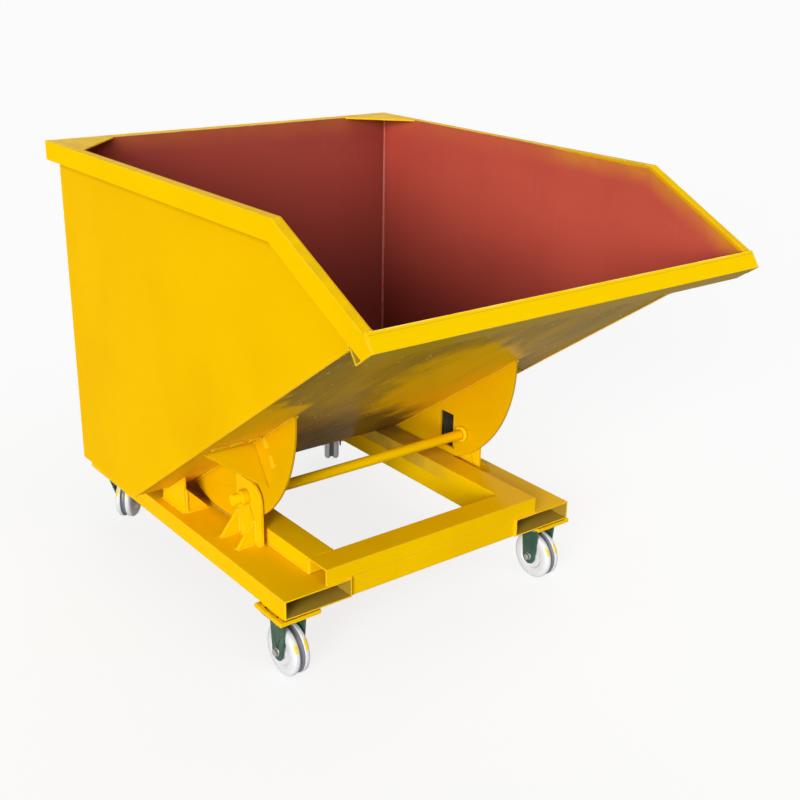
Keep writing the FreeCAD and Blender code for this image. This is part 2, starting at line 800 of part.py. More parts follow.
def fork_legs(top, axle_y):
    """The two legs of a castor fork, from its top plate down to the round eyes at the axle."""
    leg = outline([
        ("-fork_top / 2", top),
        (f"{axle_y} - fork_eye", "wheel_radius"),
        (f"{axle_y} + fork_eye", "wheel_radius"),
        ("fork_top / 2", top),
    ], {1: ("Y", "wheel_radius", "left")})
    eye = circle(axle_y, "wheel_radius", "axle_bolt_bore")
    return [("YZ", mirrored_start(sign, "fork_inner", "fork_gauge"), "fork_gauge", [leg, eye])
            for sign in SIDES.values()]


def fixed_fork(name, x, y):
    flange = ("XY", "flange_bottom", "flange_gauge", [flange_plate(), *bolt_holes()])
    body = padded(f"{name}_fork", flange, *fork_legs("flange_bottom", "0"))
    place(body, x, y, "0")
    return body


def swivel_fork(name, x, y, angle):
    """Fork whose crown turns on the kingpin, with its wheel trailing behind."""
    crown = ("XY", "crown_bottom", "crown_gauge", [
        rectangle("-fork_outer", "-fork_top / 2", "fork_outer", "fork_top / 2"),
        circle("0", "0", "kingpin_diameter / 2 + kingpin_clearance"),
    ])
    body = padded(f"{name}_fork", crown, *fork_legs("crown_bottom", "trail"))
    place(body, x, y, "0", AXIS_Z, angle)
    return body


def swivel_race(name, x, y):
    """Flange and race of a swivel castor, fixed under the pad."""
    hole = circle("0", "0", "kingpin_diameter / 2 + weld_fit")
    body = padded(f"{name}_race",
                  ("XY", "flange_bottom", "flange_gauge", [flange_plate(), hole, *bolt_holes()]),
                  ("XY", "race_bottom", "race_height", [circle("0", "0", "race_diameter / 2"), hole]))
    place(body, x, y, "0")
    return body


def kingpin(name, x, y):
    shaft = [circle("0", "0", "kingpin_diameter / 2")]
    nut = [circle("0", "0", "kingpin_nut_diameter / 2")]
    body = padded(f"{name}_kingpin",
                  ("XY", "nut_bottom", "flange_top - nut_bottom", shaft),
                  ("XY", "nut_bottom", "kingpin_nut_height", nut))
    place(body, x, y, "0")
    return body


def axle_bush(name):
    """Bush between the fork's legs, on which the wheel turns."""
    ring = [circle("0", "0", "bush_diameter / 2"), circle("0", "0", "axle_bolt_bore")]
    return padded(f"{name}_bush", ("YZ", "-fork_inner", "2 * fork_inner", ring))


def axle_bolt(name):
    """Bolt through the fork and the bush, with its head and nut outside the legs."""
    head = hexagon(f"{name}_axle_head", "axle_bolt_flats", "axle_bolt_head")
    place(head, "fork_outer", "0", "0", AXIS_Y, "90")
    nut = hexagon(f"{name}_axle_nut", "axle_bolt_flats", "axle_bolt_head")
    place(nut, "-fork_outer - axle_bolt_head", "0", "0", AXIS_Y, "90")
    shank = cylinder(f"{name}_axle_shank", "axle_bolt_diameter / 2", "2 * fork_outer")
    place(shank, "-fork_outer", "0", "0", AXIS_Y, "90")
    return joined("Part::MultiFuse", f"{name}_axle_bolt", [head, nut, shank])


def wheel(name):
    """Nylon wheel with a hub, dished faces and a groove around the middle of its tread."""
    face = "wheel_width / 2"
    dish = "wheel_width / 2 - dish_depth"
    half = [
        ("wheel_bore", "hub_half"),
        ("hub_diameter / 2", "hub_half"),
        ("hub_diameter / 2", dish),
        ("dish_diameter / 2", dish),
        ("dish_diameter / 2", face),
        ("wheel_radius", face),
        ("wheel_radius", "tread_groove / 2"),
        ("wheel_radius - tread_groove", "tread_groove / 2"),
    ]
    other_half = [(radius, f"-({height})") for radius, height in reversed(half)]
    return turned(f"{name}_wheel", half + other_half)


def castor(name, x, y):
    """Everything below one pad. A fixed castor's axle lies under its middle, a swivel one's trails."""
    end, side = name.split("_")
    angle = "0"
    axle_x = x
    axle_y = y
    if end == "rear":
        angle = f"{side}_swivel"
        axle_x = f"{x} - trail * sin({angle})"
        axle_y = f"{y} + trail * cos({angle})"
        pieces = [swivel_race(name, x, y), kingpin(name, x, y), swivel_fork(name, x, y, angle)]
    else:
        pieces = [fixed_fork(name, x, y)]
    bush = axle_bush(name)
    bolt = axle_bolt(name)
    for item in (bush, bolt):
        if end == "rear":
            place(item, axle_x, axle_y, "wheel_radius", AXIS_Z, angle)
        else:
            place(item, axle_x, axle_y, "wheel_radius")
    roller = wheel(name)
    upright_turn = FreeCAD.Rotation(AXIS_Z, value(angle)).multiply(FreeCAD.Rotation(AXIS_Y, 90))
    roller.Placement = FreeCAD.Placement(FreeCAD.Vector(), upright_turn)
    place(roller, axle_x, axle_y, "wheel_radius")
    return pieces + [bush, bolt, roller]


def build():
    nodes = [back_sheet(), floor_sheet(), rear_rim(), front_lip(), corner_gussets(), pivot_axle(), axle_collars()]
    for side, sign in SIDES.items():
        nodes += [make(side, sign) for make in (side_sheet, side_rim, rocker, rocker_gusset)]
        nodes += [make(side, sign) for make in (fork_pocket, long_channel, upright, upright_gussets)]
        nodes += [make(side, sign) for make in (pivot_boss, rest_saddle, saddle_gusset)]
    nodes.append(lock_catch())
    for end in ("front", "rear"):
        nodes += [cross_channel(end), lower_beam(end)]
    castors = castor_places()
    nodes += [castor_packers(castors), castor_bolts(castors)]
    for name, (x, y) in castors.items():
        nodes.append(castor_pad(name, x, y))
        nodes += castor(name, x, y)
    return nodes


def check(nodes):
    """Stop if any object failed, or any sub-part has no sound shape."""
    for item in doc.Objects:
        if "Invalid" in item.State or "Error" in item.State:
            raise RuntimeError(f"{item.Name} failed: {item.State}")
    for node in nodes:
        if node.Shape.isNull() or not node.Shape.isValid() or not node.Shape.Solids:
            raise RuntimeError(f"{node.Label} has no sound shape")


fill_sheet()
NODES = build()
doc.recompute()
check(NODES)
os.makedirs("parts", exist_ok=True)
for node in NODES:
    node.Shape.exportStep(f"parts/{node.Label}.step")
print(len(NODES), "sub-parts,", sum(len(node.Shape.Solids) for node in NODES), "solids")
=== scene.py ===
import json
import math
import random

import bmesh
import bpy
from mathutils import Matrix, Vector

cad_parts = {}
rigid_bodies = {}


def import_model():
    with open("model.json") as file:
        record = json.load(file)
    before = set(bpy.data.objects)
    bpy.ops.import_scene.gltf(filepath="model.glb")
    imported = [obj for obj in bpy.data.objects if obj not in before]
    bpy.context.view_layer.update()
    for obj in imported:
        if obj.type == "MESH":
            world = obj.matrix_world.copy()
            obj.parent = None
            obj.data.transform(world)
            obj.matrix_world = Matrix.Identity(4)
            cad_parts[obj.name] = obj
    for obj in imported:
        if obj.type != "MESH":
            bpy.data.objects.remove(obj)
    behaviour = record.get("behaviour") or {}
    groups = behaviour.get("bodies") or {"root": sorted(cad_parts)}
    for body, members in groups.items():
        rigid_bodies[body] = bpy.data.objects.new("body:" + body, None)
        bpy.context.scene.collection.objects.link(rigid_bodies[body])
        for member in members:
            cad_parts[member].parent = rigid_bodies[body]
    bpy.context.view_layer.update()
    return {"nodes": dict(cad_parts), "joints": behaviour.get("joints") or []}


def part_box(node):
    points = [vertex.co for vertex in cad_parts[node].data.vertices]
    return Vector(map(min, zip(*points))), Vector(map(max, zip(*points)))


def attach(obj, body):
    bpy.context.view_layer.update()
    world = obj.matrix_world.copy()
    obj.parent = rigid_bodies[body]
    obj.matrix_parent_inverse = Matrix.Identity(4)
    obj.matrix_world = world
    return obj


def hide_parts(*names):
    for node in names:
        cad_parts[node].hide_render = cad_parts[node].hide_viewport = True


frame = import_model()
nodes = frame["nodes"]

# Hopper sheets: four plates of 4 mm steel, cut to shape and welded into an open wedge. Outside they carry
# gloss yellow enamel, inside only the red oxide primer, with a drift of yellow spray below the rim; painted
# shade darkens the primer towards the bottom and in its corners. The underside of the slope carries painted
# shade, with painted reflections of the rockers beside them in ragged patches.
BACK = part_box("back_sheet")[1].y
RIM_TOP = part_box("back_sheet")[1].z
HOPPER_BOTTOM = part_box("back_sheet")[0].z
SHEET = 0.004
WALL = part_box("right_side_sheet")[1].x - SHEET
BOTTOM_LENGTH = 0.366
TOP_LENGTH = 1.220
LIP_REACH = 1.568
LIP_DROP = 0.172
NOSE_SETBACK = 0.005
BEND = Vector((0, BACK - BOTTOM_LENGTH, HOPPER_BOTTOM))
LIP = Vector((0, BACK - LIP_REACH, RIM_TOP - LIP_DROP))
TOP_CORNER = Vector((0, BACK - TOP_LENGTH, RIM_TOP))
SLOPE = (LIP - BEND).normalized()
DOWN_FROM_SLOPE = Vector((0, -SLOPE.z, SLOPE.y))
NOSE = LIP - SLOPE * NOSE_SETBACK - DOWN_FROM_SLOPE * SHEET
SLANT = (NOSE - TOP_CORNER).normalized()
BELOW_SLANT = Vector((0, -SLANT.z, SLANT.y))
RIM_HEIGHT = 0.056
ROCKER_SIDE = 0.385
SHEET_ROUND = 0.0008

HOPPER_YELLOW = (0.885, 0.512, 0.0, 1)
HOPPER_YELLOW_DEEP = (0.835, 0.462, 0.0, 1)
RIM_PAINTED_SHADOW = (0.58, 0.30, 0.0, 1)
CREVICE_DIRT_AND_SHADE = (0.26, 0.15, 0.02, 1)
EDGE_HIGHLIGHT = (0.97, 0.72, 0.14, 1)
CHIP_STEEL = (0.09, 0.075, 0.06, 1)
UNDERSIDE_SHADE = (0.38, 0.25, 0.035, 1)
UNDERSIDE_LOW_SHADE = (0.14, 0.092, 0.02, 1)
ROCKER_REFLECTION_YELLOW = (1.0, 0.58, 0.01, 1)
SPATTER_PALE = (0.93, 0.74, 0.30, 1)
PRIMER_RED = (0.54, 0.088, 0.056, 1)
PRIMER_RED_DARK = (0.45, 0.068, 0.046, 1)
PRIMER_DUST = (0.50, 0.19, 0.13, 1)
PRIMER_SHADE = (0.20, 0.040, 0.031, 1)
SPRAY_MIST = (0.70, 0.34, 0.012, 1)
OUTSIDE_GLOSS = 0.002
DULL_GLOSS = 0.0008


def new_material(name):
    material = bpy.data.materials.new(name)
    material.use_nodes = True
    return material, material.node_tree, material.node_tree.nodes["Principled BSDF"]


def add(tree, kind, inputs=None, **settings):
    """One shader node with its settings, its sockets set to values or linked."""
    made = tree.nodes.new("ShaderNode" + kind)
    for key, setting in settings.items():
        setattr(made, key, setting)
    for socket, given in (inputs or {}).items():
        if isinstance(given, bpy.types.NodeSocket):
            tree.links.new(given, made.inputs[socket])
        else:
            made.inputs[socket].default_value = given
    return made


def place_in(tree, output="Object"):
    return add(tree, "TexCoord").outputs[output]


def place_parts(tree, where):
    return add(tree, "SeparateXYZ", {"Vector": where}).outputs


def stretched(tree, where, scale):
    return add(tree, "Mapping", {"Vector": where, "Scale": scale}).outputs["Vector"]


def noise(tree, where, scale, detail=2.0, roughness=0.5):
    settings = {"Vector": where, "Scale": scale, "Detail": detail, "Roughness": roughness}
    return add(tree, "TexNoise", settings).outputs["Fac"]


def spread(tree, amount, low, high, to_low=0.0, to_high=1.0):
    """The amount between low and high, eased into the other range."""
    made = add(tree, "MapRange", {"Value": amount, "From Min": low, "From Max": high,
                                  "To Min": to_low, "To Max": to_high}, interpolation_type="SMOOTHSTEP")
    return made.outputs["Result"]


def sums(tree, operation, first, second):
    return add(tree, "Math", {0: first, 1: second}, operation=operation).outputs["Value"]


def times(tree, first, *others):
    for other in others:
        first = sums(tree, "MULTIPLY", first, other)
    return first


def blend(tree, amount, first, second):
    made = add(tree, "Mix", {0: amount, 6: first, 7: second}, data_type="RGBA")
    return made.outputs[2]


def dot(tree, first, second):
    return add(tree, "VectorMath", {0: first, 1: second}, operation="DOT_PRODUCT").outputs["Value"]


def distance_from(tree, where, point, direction):
    """How far a place lies from a plane through the point, along the direction."""
    offset = add(tree, "VectorMath", {0: where, 1: tuple(point)}, operation="SUBTRACT").outputs["Vector"]
    return dot(tree, offset, tuple(direction))


def facing(tree, direction):
    """How far a face looks along the direction, from -1 to 1."""
    return dot(tree, place_in(tree, "Normal"), tuple(direction))


def occlusion(tree, distance):
    return add(tree, "AmbientOcclusion", {"Distance": distance}, samples=6).outputs["AO"]


def bumped(tree, height, distance, under=None):
    inputs = {"Height": height, "Distance": distance, "Strength": 1.0}
    if under is not None:
        inputs["Normal"] = under
    return add(tree, "Bump", inputs).outputs["Normal"]


def cover(tree, shader, colour, rough, normal, gloss=None):
    """Give a surface its colour, roughness and relief, and its own gloss where that isn't the usual one."""
    for socket, layer in (("Base Color", colour), ("Roughness", rough), ("Normal", normal)):
        tree.links.new(layer, shader.inputs[socket])
    if gloss is not None:
        shader.inputs["Specular IOR Level"].default_value = gloss


def enamel_layers(tree, yellow, deep):
    """Sprayed gloss enamel: cloudy cover, faint runs, dust nibs, chipped edges and an orange-peel skin, with
    dirt and painted shade in the hollows and painted highlights along the edges.
    """
    where = place_in(tree)
    clouds = spread(tree, noise(tree, where, 1.9, 3.0), 0.35, 0.72)
    colour = blend(tree, clouds, yellow, deep)
    runs = noise(tree, stretched(tree, where, (11, 11, 1.3)), 1.0, 4.0, 0.6)
    colour = blend(tree, spread(tree, runs, 0.55, 0.85, 0.0, 0.35), colour, deep)
    nibs = spread(tree, noise(tree, where, 160.0, 1.0), 0.74, 0.80, 0.0, 0.5)
    colour = blend(tree, nibs, colour, deep)
    # dirt and painted shade in the hollows, from ambient occlusion
    shaded_hollows = spread(tree, occlusion(tree, 0.018), 0.60, 0.25)
    settled = spread(tree, noise(tree, where, 24.0, 4.0, 0.6), 0.30, 0.65, 0.25, 0.75)
    colour = blend(tree, times(tree, shaded_hollows, settled), colour, CREVICE_DIRT_AND_SHADE)
    rounded = add(tree, "Bevel", {"Radius": 0.004}, samples=4).outputs["Normal"]
    flat = add(tree, "NewGeometry").outputs["Normal"]
    edge = spread(tree, dot(tree, rounded, flat), 0.97, 0.80)
    # painted highlights along the edges, in patches
    highlight_patches = spread(tree, noise(tree, where, 30.0, 4.0, 0.6), 0.35, 0.65, 0.10, 0.42)
    colour = blend(tree, times(tree, edge, highlight_patches), colour, EDGE_HIGHLIGHT)
    chips = spread(tree, noise(tree, where, 55.0, 5.0, 0.7), 0.665, 0.70)
    chipped = times(tree, edge, chips)
    colour = blend(tree, chipped, colour, CHIP_STEEL)
    polish = spread(tree, noise(tree, where, 7.0, 3.0), 0.3, 0.75, 0.11, 0.20)
    rough = sums(tree, "MAXIMUM", polish, times(tree, chipped, 0.7))
    skin = bumped(tree, noise(tree, where, 330.0, 1.0), 0.00003)
    panel = bumped(tree, noise(tree, where, 2.6, 1.0), 0.0025, skin)
    return where, colour, rough, panel


def underside_layers(tree, where, colour):
    """Painted shade under the slope, darkest low down, with pale specks. Painted reflections of the rockers
    lie inboard of the right rocker and outboard of the left one, and end there in ragged edges."""
    streaked = noise(tree, stretched(tree, where, (8, 2.5, 2.5)), 1.0, 5.0, 0.65)
    waver = spread(tree, noise(tree, where, 6.0, 4.0, 0.6), 0.30, 0.70, -0.06, 0.06)
    sideways = distance_from(tree, where, BEND, (1, 0, 0))
    reach = sums(tree, "ADD", distance_from(tree, where, BEND, SLOPE), waver)
    slant = sums(tree, "ADD", reach, sideways)
    ragged = sums(tree, "ADD", sideways, waver)
    inboard = times(tree, spread(tree, ragged, -0.24, 0.0),
                    spread(tree, sideways, ROCKER_SIDE + 0.025, ROCKER_SIDE - 0.005),
                    spread(tree, slant, 0.42, 0.64), spread(tree, reach, 1.12, 0.98),
                    spread(tree, slant, 1.18, 1.06))
    outboard = times(tree, spread(tree, sideways, -ROCKER_SIDE, -ROCKER_SIDE - 0.025),
                     spread(tree, slant, 0.44, 0.34))
    rocker_reflection = sums(tree, "MAXIMUM", inboard, outboard)
    rocker_reflection = times(tree, rocker_reflection, spread(tree, streaked, 0.72, 0.45, 0.70, 1.0))
    unreflected = sums(tree, "SUBTRACT", 1.0, rocker_reflection)
    # painted shade under the slope, streaked
    shade_cover = times(tree, unreflected, spread(tree, streaked, 0.30, 0.70, 0.50, 1.0))
    colour = blend(tree, shade_cover, colour, UNDERSIDE_SHADE)
    # deeper painted shade low down, towards the bend
    low_down = times(tree, unreflected, spread(tree, reach, 0.80, 0.25, 0.0, 0.65))
    colour = blend(tree, low_down, colour, UNDERSIDE_LOW_SHADE)
    # painted reflections of the rockers, inboard of the right one and outboard of the left one
    colour = blend(tree, times(tree, rocker_reflection, 0.8), colour, ROCKER_REFLECTION_YELLOW)
    spatter = spread(tree, noise(tree, where, 85.0, 0.0), 0.80, 0.82)
    return blend(tree, spatter, colour, SPATTER_PALE)


def sheet_finish(name, inward, spray_edges, soil, underside):
    """Enamel outside, primer on the face that looks inward, and yellow spray reaching in past the top edges.
    The soil gives how far painted shade darkens the primer at the rim and at the bottom."""
    material, tree, shader = new_material(name)
    where, colour, rough, normal = enamel_layers(tree, HOPPER_YELLOW, HOPPER_YELLOW_DEEP)
    depth = distance_from(tree, where, *spray_edges[0])
    for point, direction in spray_edges[1:]:
        depth = sums(tree, "MINIMUM", depth, distance_from(tree, where, point, direction))
    if underside:
        colour = underside_layers(tree, where, colour)
    else:
        # painted shadow: a darker band on the sheet just below the rim's leg
        below_rim = sums(tree, "SUBTRACT", depth, RIM_HEIGHT)
        colour = blend(tree, spread(tree, below_rim, 0.024, 0.008, 0.0, 0.6), colour, RIM_PAINTED_SHADOW)
    inside = spread(tree, facing(tree, inward), 0.35, 0.65)
    parts = place_parts(tree, where)
    forward = spread(tree, parts["Y"], BACK - 0.62, BACK - 1.15)
    wrapped = sums(tree, "ADD", depth, times(tree, noise(tree, where, 30.0, 3.0), 0.006))
    past_edge = sums(tree, "SUBTRACT", wrapped, spread(tree, forward, 0.0, 1.0, 0.001, 0.0085))
    bare = times(tree, inside, spread(tree, past_edge, 0.0, 0.004))
    clouds = spread(tree, noise(tree, where, 1.4, 4.0, 0.55), 0.3, 0.7)
    red = blend(tree, clouds, PRIMER_RED, PRIMER_RED_DARK)
    streaks = noise(tree, stretched(tree, where, (26, 26, 2.2)), 1.0, 5.0, 0.65)
    red = blend(tree, spread(tree, streaks, 0.56, 0.82, 0.0, 0.22), red, PRIMER_DUST)
    scuffs = noise(tree, stretched(tree, where, (5, 5, 46)), 1.0, 6.0, 0.7)
    red = blend(tree, spread(tree, scuffs, 0.64, 0.74, 0.0, 0.30), red, PRIMER_DUST)
    ahead = times(tree, sums(tree, "SUBTRACT", BACK, parts["Y"]), 0.3)
    # painted shade: the primer grows darker towards the bottom of the hopper, as far as the soil sets
    soiled = spread(tree, sums(tree, "ADD", parts["Z"], ahead), RIM_TOP - 0.03, HOPPER_BOTTOM + 0.28, *soil)
    red = blend(tree, soiled, red, PRIMER_SHADE)
    # painted shade in the primer's corners, from ambient occlusion
    corners = spread(tree, occlusion(tree, 0.07), 0.72, 0.30, 0.0, 0.65)
    red = blend(tree, corners, red, PRIMER_SHADE)
    drift = spread(tree, noise(tree, where, 6.0, 5.0, 0.65), 0.25, 0.75, 0.35, 1.0)
    mist = times(tree, spread(tree, depth, 0.068, 0.004, 0.0, 0.80), drift,
                 spread(tree, forward, 0.0, 1.0, 0.2, 1.0))
    red = blend(tree, mist, red, SPRAY_MIST)
    dull = spread(tree, streaks, 0.3, 0.8, 0.38, 0.52)
    covered = sums(tree, "SUBTRACT", 1.0, bare)
    mixed = sums(tree, "ADD", times(tree, bare, dull), times(tree, covered, rough))
    gloss = DULL_GLOSS if underside else OUTSIDE_GLOSS
    cover(tree, shader, blend(tree, bare, colour, red), mixed, normal, gloss)
    return material


def paint(names, material):
    for name in names:
        nodes[name].material_slots[0].material = material


def soften(names, width):
    """Round the cut edges of plates, as grinding and thick paint leave them."""
    for name in names:
        joined = nodes[name].modifiers.new("joined_faces", "WELD")
        joined.merge_threshold = 0.00001
        edges = nodes[name].modifiers.new("soft_edges", "BEVEL")
        edges.width = width
        edges.segments = 2
        edges.limit_method = "ANGLE"
        edges.angle_limit = math.radians(35)
        edges.harden_normals = True


RIM_EDGE = (Vector((0, 0, RIM_TOP)), Vector((0, 0, -1)))
SLANT_EDGE = (TOP_CORNER, BELOW_SLANT)
LIP_EDGE = (NOSE, -SLOPE)
# how much painted shade darkens each sheet's primer, at the rim and at the bottom
SIDE_SHADE = (0.0, 0.72)
BACK_SHADE = (0.55, 0.88)
FLOOR_SHADE = (0.6, 0.9)
SHEETS = {  # where the inside looks, the edges that the spray came over, the soil, and if it is the floor
    "left_side_sheet": ((1, 0, 0), [RIM_EDGE, SLANT_EDGE], SIDE_SHADE, False),
    "right_side_sheet": ((-1, 0, 0), [RIM_EDGE, SLANT_EDGE], SIDE_SHADE, False),
    "back_sheet": ((0, -1, 0), [RIM_EDGE], BACK_SHADE, False),
    "floor_sheet": ((0, 0, 1), [LIP_EDGE], FLOOR_SHADE, True),
}
for sheet, finish in SHEETS.items():
    paint([sheet], sheet_finish(sheet.replace("_side", "") + "_paint", *finish))
soften(SHEETS, SHEET_ROUND)

# Hopper seams: continuous fillet welds where the four sheets meet inside, primed over and rubbed pale, and
# a ground run along the outside of the floor. Each bead is a row of overlapping ripples left by the arc.
BEAD_STEP = 0.0022
BEAD_RIPPLE = 0.0065
BEAD_SWELL = 0.13
BEAD_UNEVEN = 0.07
BEAD_SIDES = 7
SEAM_RADIUS = 0.0045
SEAM_INSET = 0.0022  # keeps a bead from coming through the sheet that it lies on
FLUSH_RADIUS = 0.003
BELOW_RIM = 0.012
BEHIND_NOSE = 0.006
BEHIND_LIP = 0.09
PRIMER_RUBBED = (0.42, 0.15, 0.11, 1)
PRIMER_GLOSS = 0.3


def bead(mesh, points, radius, draw, closed=False):
    """Add one welded run along the points, as a rippled rope half sunk in the joint."""
    stops = [Vector(point) for point in points]
    if closed:
        stops.append(stops[0])
    rings = []
    travelled = 0.0
    for start, finish in zip(stops, stops[1:]):
        run = (finish - start).length
        count = max(2, round(run / BEAD_STEP))
        along = (finish - start).normalized()
        reference = Vector((1, 0, 0)) if abs(along.x) < 0.7 else Vector((0, 0, 1))
        side = along.cross(reference).normalized()
        lift = side.cross(along)
        at_end = finish is stops[-1] and not closed
        for number in range(count + 1 if at_end else count):
            spot = start.lerp(finish, number / count)
            travelled += run / count
            ripple = math.sin(2 * math.pi * travelled / BEAD_RIPPLE)
            size = radius * (1 + BEAD_SWELL * ripple + draw.uniform(-BEAD_UNEVEN, BEAD_UNEVEN))
            ring = []
            for turn in range(BEAD_SIDES):
                angle = 2 * math.pi * turn / BEAD_SIDES
                ring.append(mesh.verts.new(spot + (side * math.cos(angle) + lift * math.sin(angle)) * size))
            rings.append(ring)
    pairs = list(zip(rings, rings[1:]))
    if closed:
        pairs.append((rings[-1], rings[0]))
    for near, far in pairs:
        for turn in range(BEAD_SIDES):
            following = (turn + 1) % BEAD_SIDES
            mesh.faces.new((near[turn], far[turn], far[following], near[following]))
    if not closed:
        mesh.faces.new(rings[0])
        mesh.faces.new(list(reversed(rings[-1])))


def finish_piece(name, mesh, material, body):
    """Turn the drawn mesh into a piece with its material, riding on its body."""
    bmesh.ops.recalc_face_normals(mesh, faces=mesh.faces)
    for face in mesh.faces:
        face.smooth = True
    data = bpy.data.meshes.new(name)
    mesh.to_mesh(data)
    mesh.free()
    data.set_sharp_from_angle(angle=math.radians(40))
    data.materials.append(material)
    piece = bpy.data.objects.new(name, data)
    bpy.context.scene.collection.objects.link(piece)
    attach(piece, body)
    return piece


def welds(name, runs, radius, material, body, seed, closed=False):
    """A piece of several weld runs on one body, each given by its points, in that body's enamel slot."""
    draw = random.Random(seed)
    mesh = bmesh.new()
    for run in runs:
        bead(mesh, run, radius, draw, closed)
    return finish_piece(name, mesh, material, body)


def seam_primer():
    material, tree, shader = new_material("seam_primer")
    where = place_in(tree)
    rubbed = spread(tree, noise(tree, where, 38.0, 4.0, 0.6), 0.35, 0.65)
    colour = blend(tree, rubbed, PRIMER_RUBBED, PRIMER_RED)
    cover(tree, shader, colour, spread(tree, rubbed, 0, 1, 0.5, 0.36),
          bumped(tree, noise(tree, where, 300.0, 2.0), 0.0001), PRIMER_GLOSS)
    return material


def enamel(name, yellow, deep):
    material, tree, shader = new_material(name)
    cover(tree, shader, *enamel_layers(tree, yellow, deep)[1:], OUTSIDE_GLOSS)
    return material


def across(point, x):
    return Vector((x, point.y, point.z))


BACK_FOOT = Vector((0, BACK - SHEET - SEAM_INSET, HOPPER_BOTTOM + SHEET + SEAM_INSET))
BACK_HEAD = Vector((0, BACK - SHEET - SEAM_INSET, RIM_TOP - BELOW_RIM))
FLOOR_BEND = BEND - DOWN_FROM_SLOPE * (SHEET + SEAM_INSET)
FLOOR_END = NOSE - SLOPE * BEHIND_NOSE - DOWN_FROM_SLOPE * SEAM_INSET
FLUSH_END = LIP - SLOPE * BEHIND_LIP
SEAM_SIDE = WALL - SEAM_INSET
seam_runs = [[across(BACK_FOOT, -SEAM_SIDE), across(BACK_FOOT, SEAM_SIDE)]]
flush_runs = []
for sign in (-1, 1):
    side = sign * SEAM_SIDE
    for start, finish in ((BACK_FOOT, BACK_HEAD), (BACK_FOOT, FLOOR_BEND), (FLOOR_BEND, FLOOR_END)):
        seam_runs.append([across(start, side), across(finish, side)])
    flush_runs.append([across(BEND, sign * WALL), across(FLUSH_END, sign * WALL)])
hopper_enamel = enamel("hopper_enamel_paint", HOPPER_YELLOW, HOPPER_YELLOW_DEEP)
welds("hopper_inside_seams", seam_runs, SEAM_RADIUS, seam_primer(), "hopper", seed=3)
welds("hopper_floor_seams", flush_runs, FLUSH_RADIUS, hopper_enamel, "hopper", seed=4)

# Hopper rim: folded steel angle around the top and down the slants, flat gussets in the two rear corners,
# and a channel folded under the pouring edge, which sliding loads have rubbed along its top.
LIP_RETURN = 0.075
LIP_DEPTH = 0.045
RIM_GAUGE = 0.005
RIM_ROUND = 0.0018
RIM_YELLOW = (0.92, 0.565, 0.0, 1)
RIM_YELLOW_DEEP = (0.88, 0.525, 0.0, 1)
RIM_UPWARD_BROWN = (0.60, 0.37, 0.01, 1)
LIP_YELLOW = (0.84, 0.54, 0.0, 1)
LIP_YELLOW_DEEP = (0.825, 0.525, 0.0, 1)
LIP_RUB = (0.93, 0.70, 0.22, 1)
LIP_FOLD = (0.50, 0.30, 0.02, 1)
HOLLOW_SHADE_OLIVE = (0.42, 0.27, 0.03, 1)


def rim_finish():
    """Enamel, browner and rougher in patches on the faces that look up."""
    material, tree, shader = new_material("rim_paint")
    where, colour, rough, normal = enamel_layers(tree, RIM_YELLOW, RIM_YELLOW_DEEP)
    upward = spread(tree, facing(tree, (0, 0, 1)), 0.70, 0.90)
    lying = spread(tree, noise(tree, where, 18.0, 4.0, 0.6), 0.30, 0.70, 0.12, 0.55)
    dust = times(tree, upward, lying)
    upward_rough = sums(tree, "ADD", rough, times(tree, dust, 0.3))
    cover(tree, shader, blend(tree, dust, colour, RIM_UPWARD_BROWN), upward_rough, normal, DULL_GLOSS)
    return material


def hollow_side(tree, walls, gauge):
    """1 on the hollow side of plates of this gauge, given how far a place lies from their outer faces."""
    nearest = walls[0]
    for wall in walls[1:]:
        nearest = sums(tree, "MINIMUM", nearest, wall)
    return spread(tree, nearest, gauge - 0.0012, gauge - 0.0004)


def lip_finish():
    """Enamel, with painted shade in olive in the channel's hollow and on the faces that look down, a dark
    fold and a rubbed edge.
    """
    material, tree, shader = new_material("lip_paint")
    where, colour, rough, normal = enamel_layers(tree, LIP_YELLOW, LIP_YELLOW_DEEP)
    behind = distance_from(tree, where, LIP, -SLOPE)
    depth = distance_from(tree, where, LIP, DOWN_FROM_SLOPE)
    walls = [behind, sums(tree, "SUBTRACT", LIP_RETURN, behind), sums(tree, "SUBTRACT", LIP_DEPTH, depth)]
    # painted shade: olive on the hollow side of the channel
    colour = blend(tree, hollow_side(tree, walls, RIM_GAUGE), colour, HOLLOW_SHADE_OLIVE)
    # painted shade on the faces that look down
    downward = spread(tree, facing(tree, DOWN_FROM_SLOPE), 0.5, 0.9, 0.0, 0.6)
    colour = blend(tree, downward, colour, UNDERSIDE_SHADE)
    below = distance_from(tree, where, NOSE, DOWN_FROM_SLOPE)
    fold = times(tree, spread(tree, below, 0.0105, 0.0095), spread(tree, below, 0.0075, 0.0085), 0.6)
    colour = blend(tree, fold, colour, LIP_FOLD)
    ragged = times(tree, noise(tree, stretched(tree, where, (18, 60, 60)), 1.0, 5.0, 0.7), 0.010)
    rubbed = spread(tree, sums(tree, "ADD", below, ragged), 0.0085, 0.0045)
    scoured = sums(tree, "ADD", rough, times(tree, rubbed, 0.15))
    cover(tree, shader, blend(tree, rubbed, colour, LIP_RUB), scoured, normal, DULL_GLOSS)
    return material


rim_nodes = ["left_rim", "right_rim", "rear_rim", "corner_gussets"]
paint(rim_nodes, rim_finish())
paint(["front_lip"], lip_finish())
soften(rim_nodes + ["front_lip"], RIM_ROUND)
lip_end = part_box("front_lip")[1].x
return_edge = LIP - SLOPE * LIP_RETURN + DOWN_FROM_SLOPE * SEAM_INSET
lip_run = [across(return_edge, -lip_end), across(return_edge, lip_end)]
welds("lip_welds", [lip_run], SEAM_RADIUS, hopper_enamel, "hopper", seed=5)

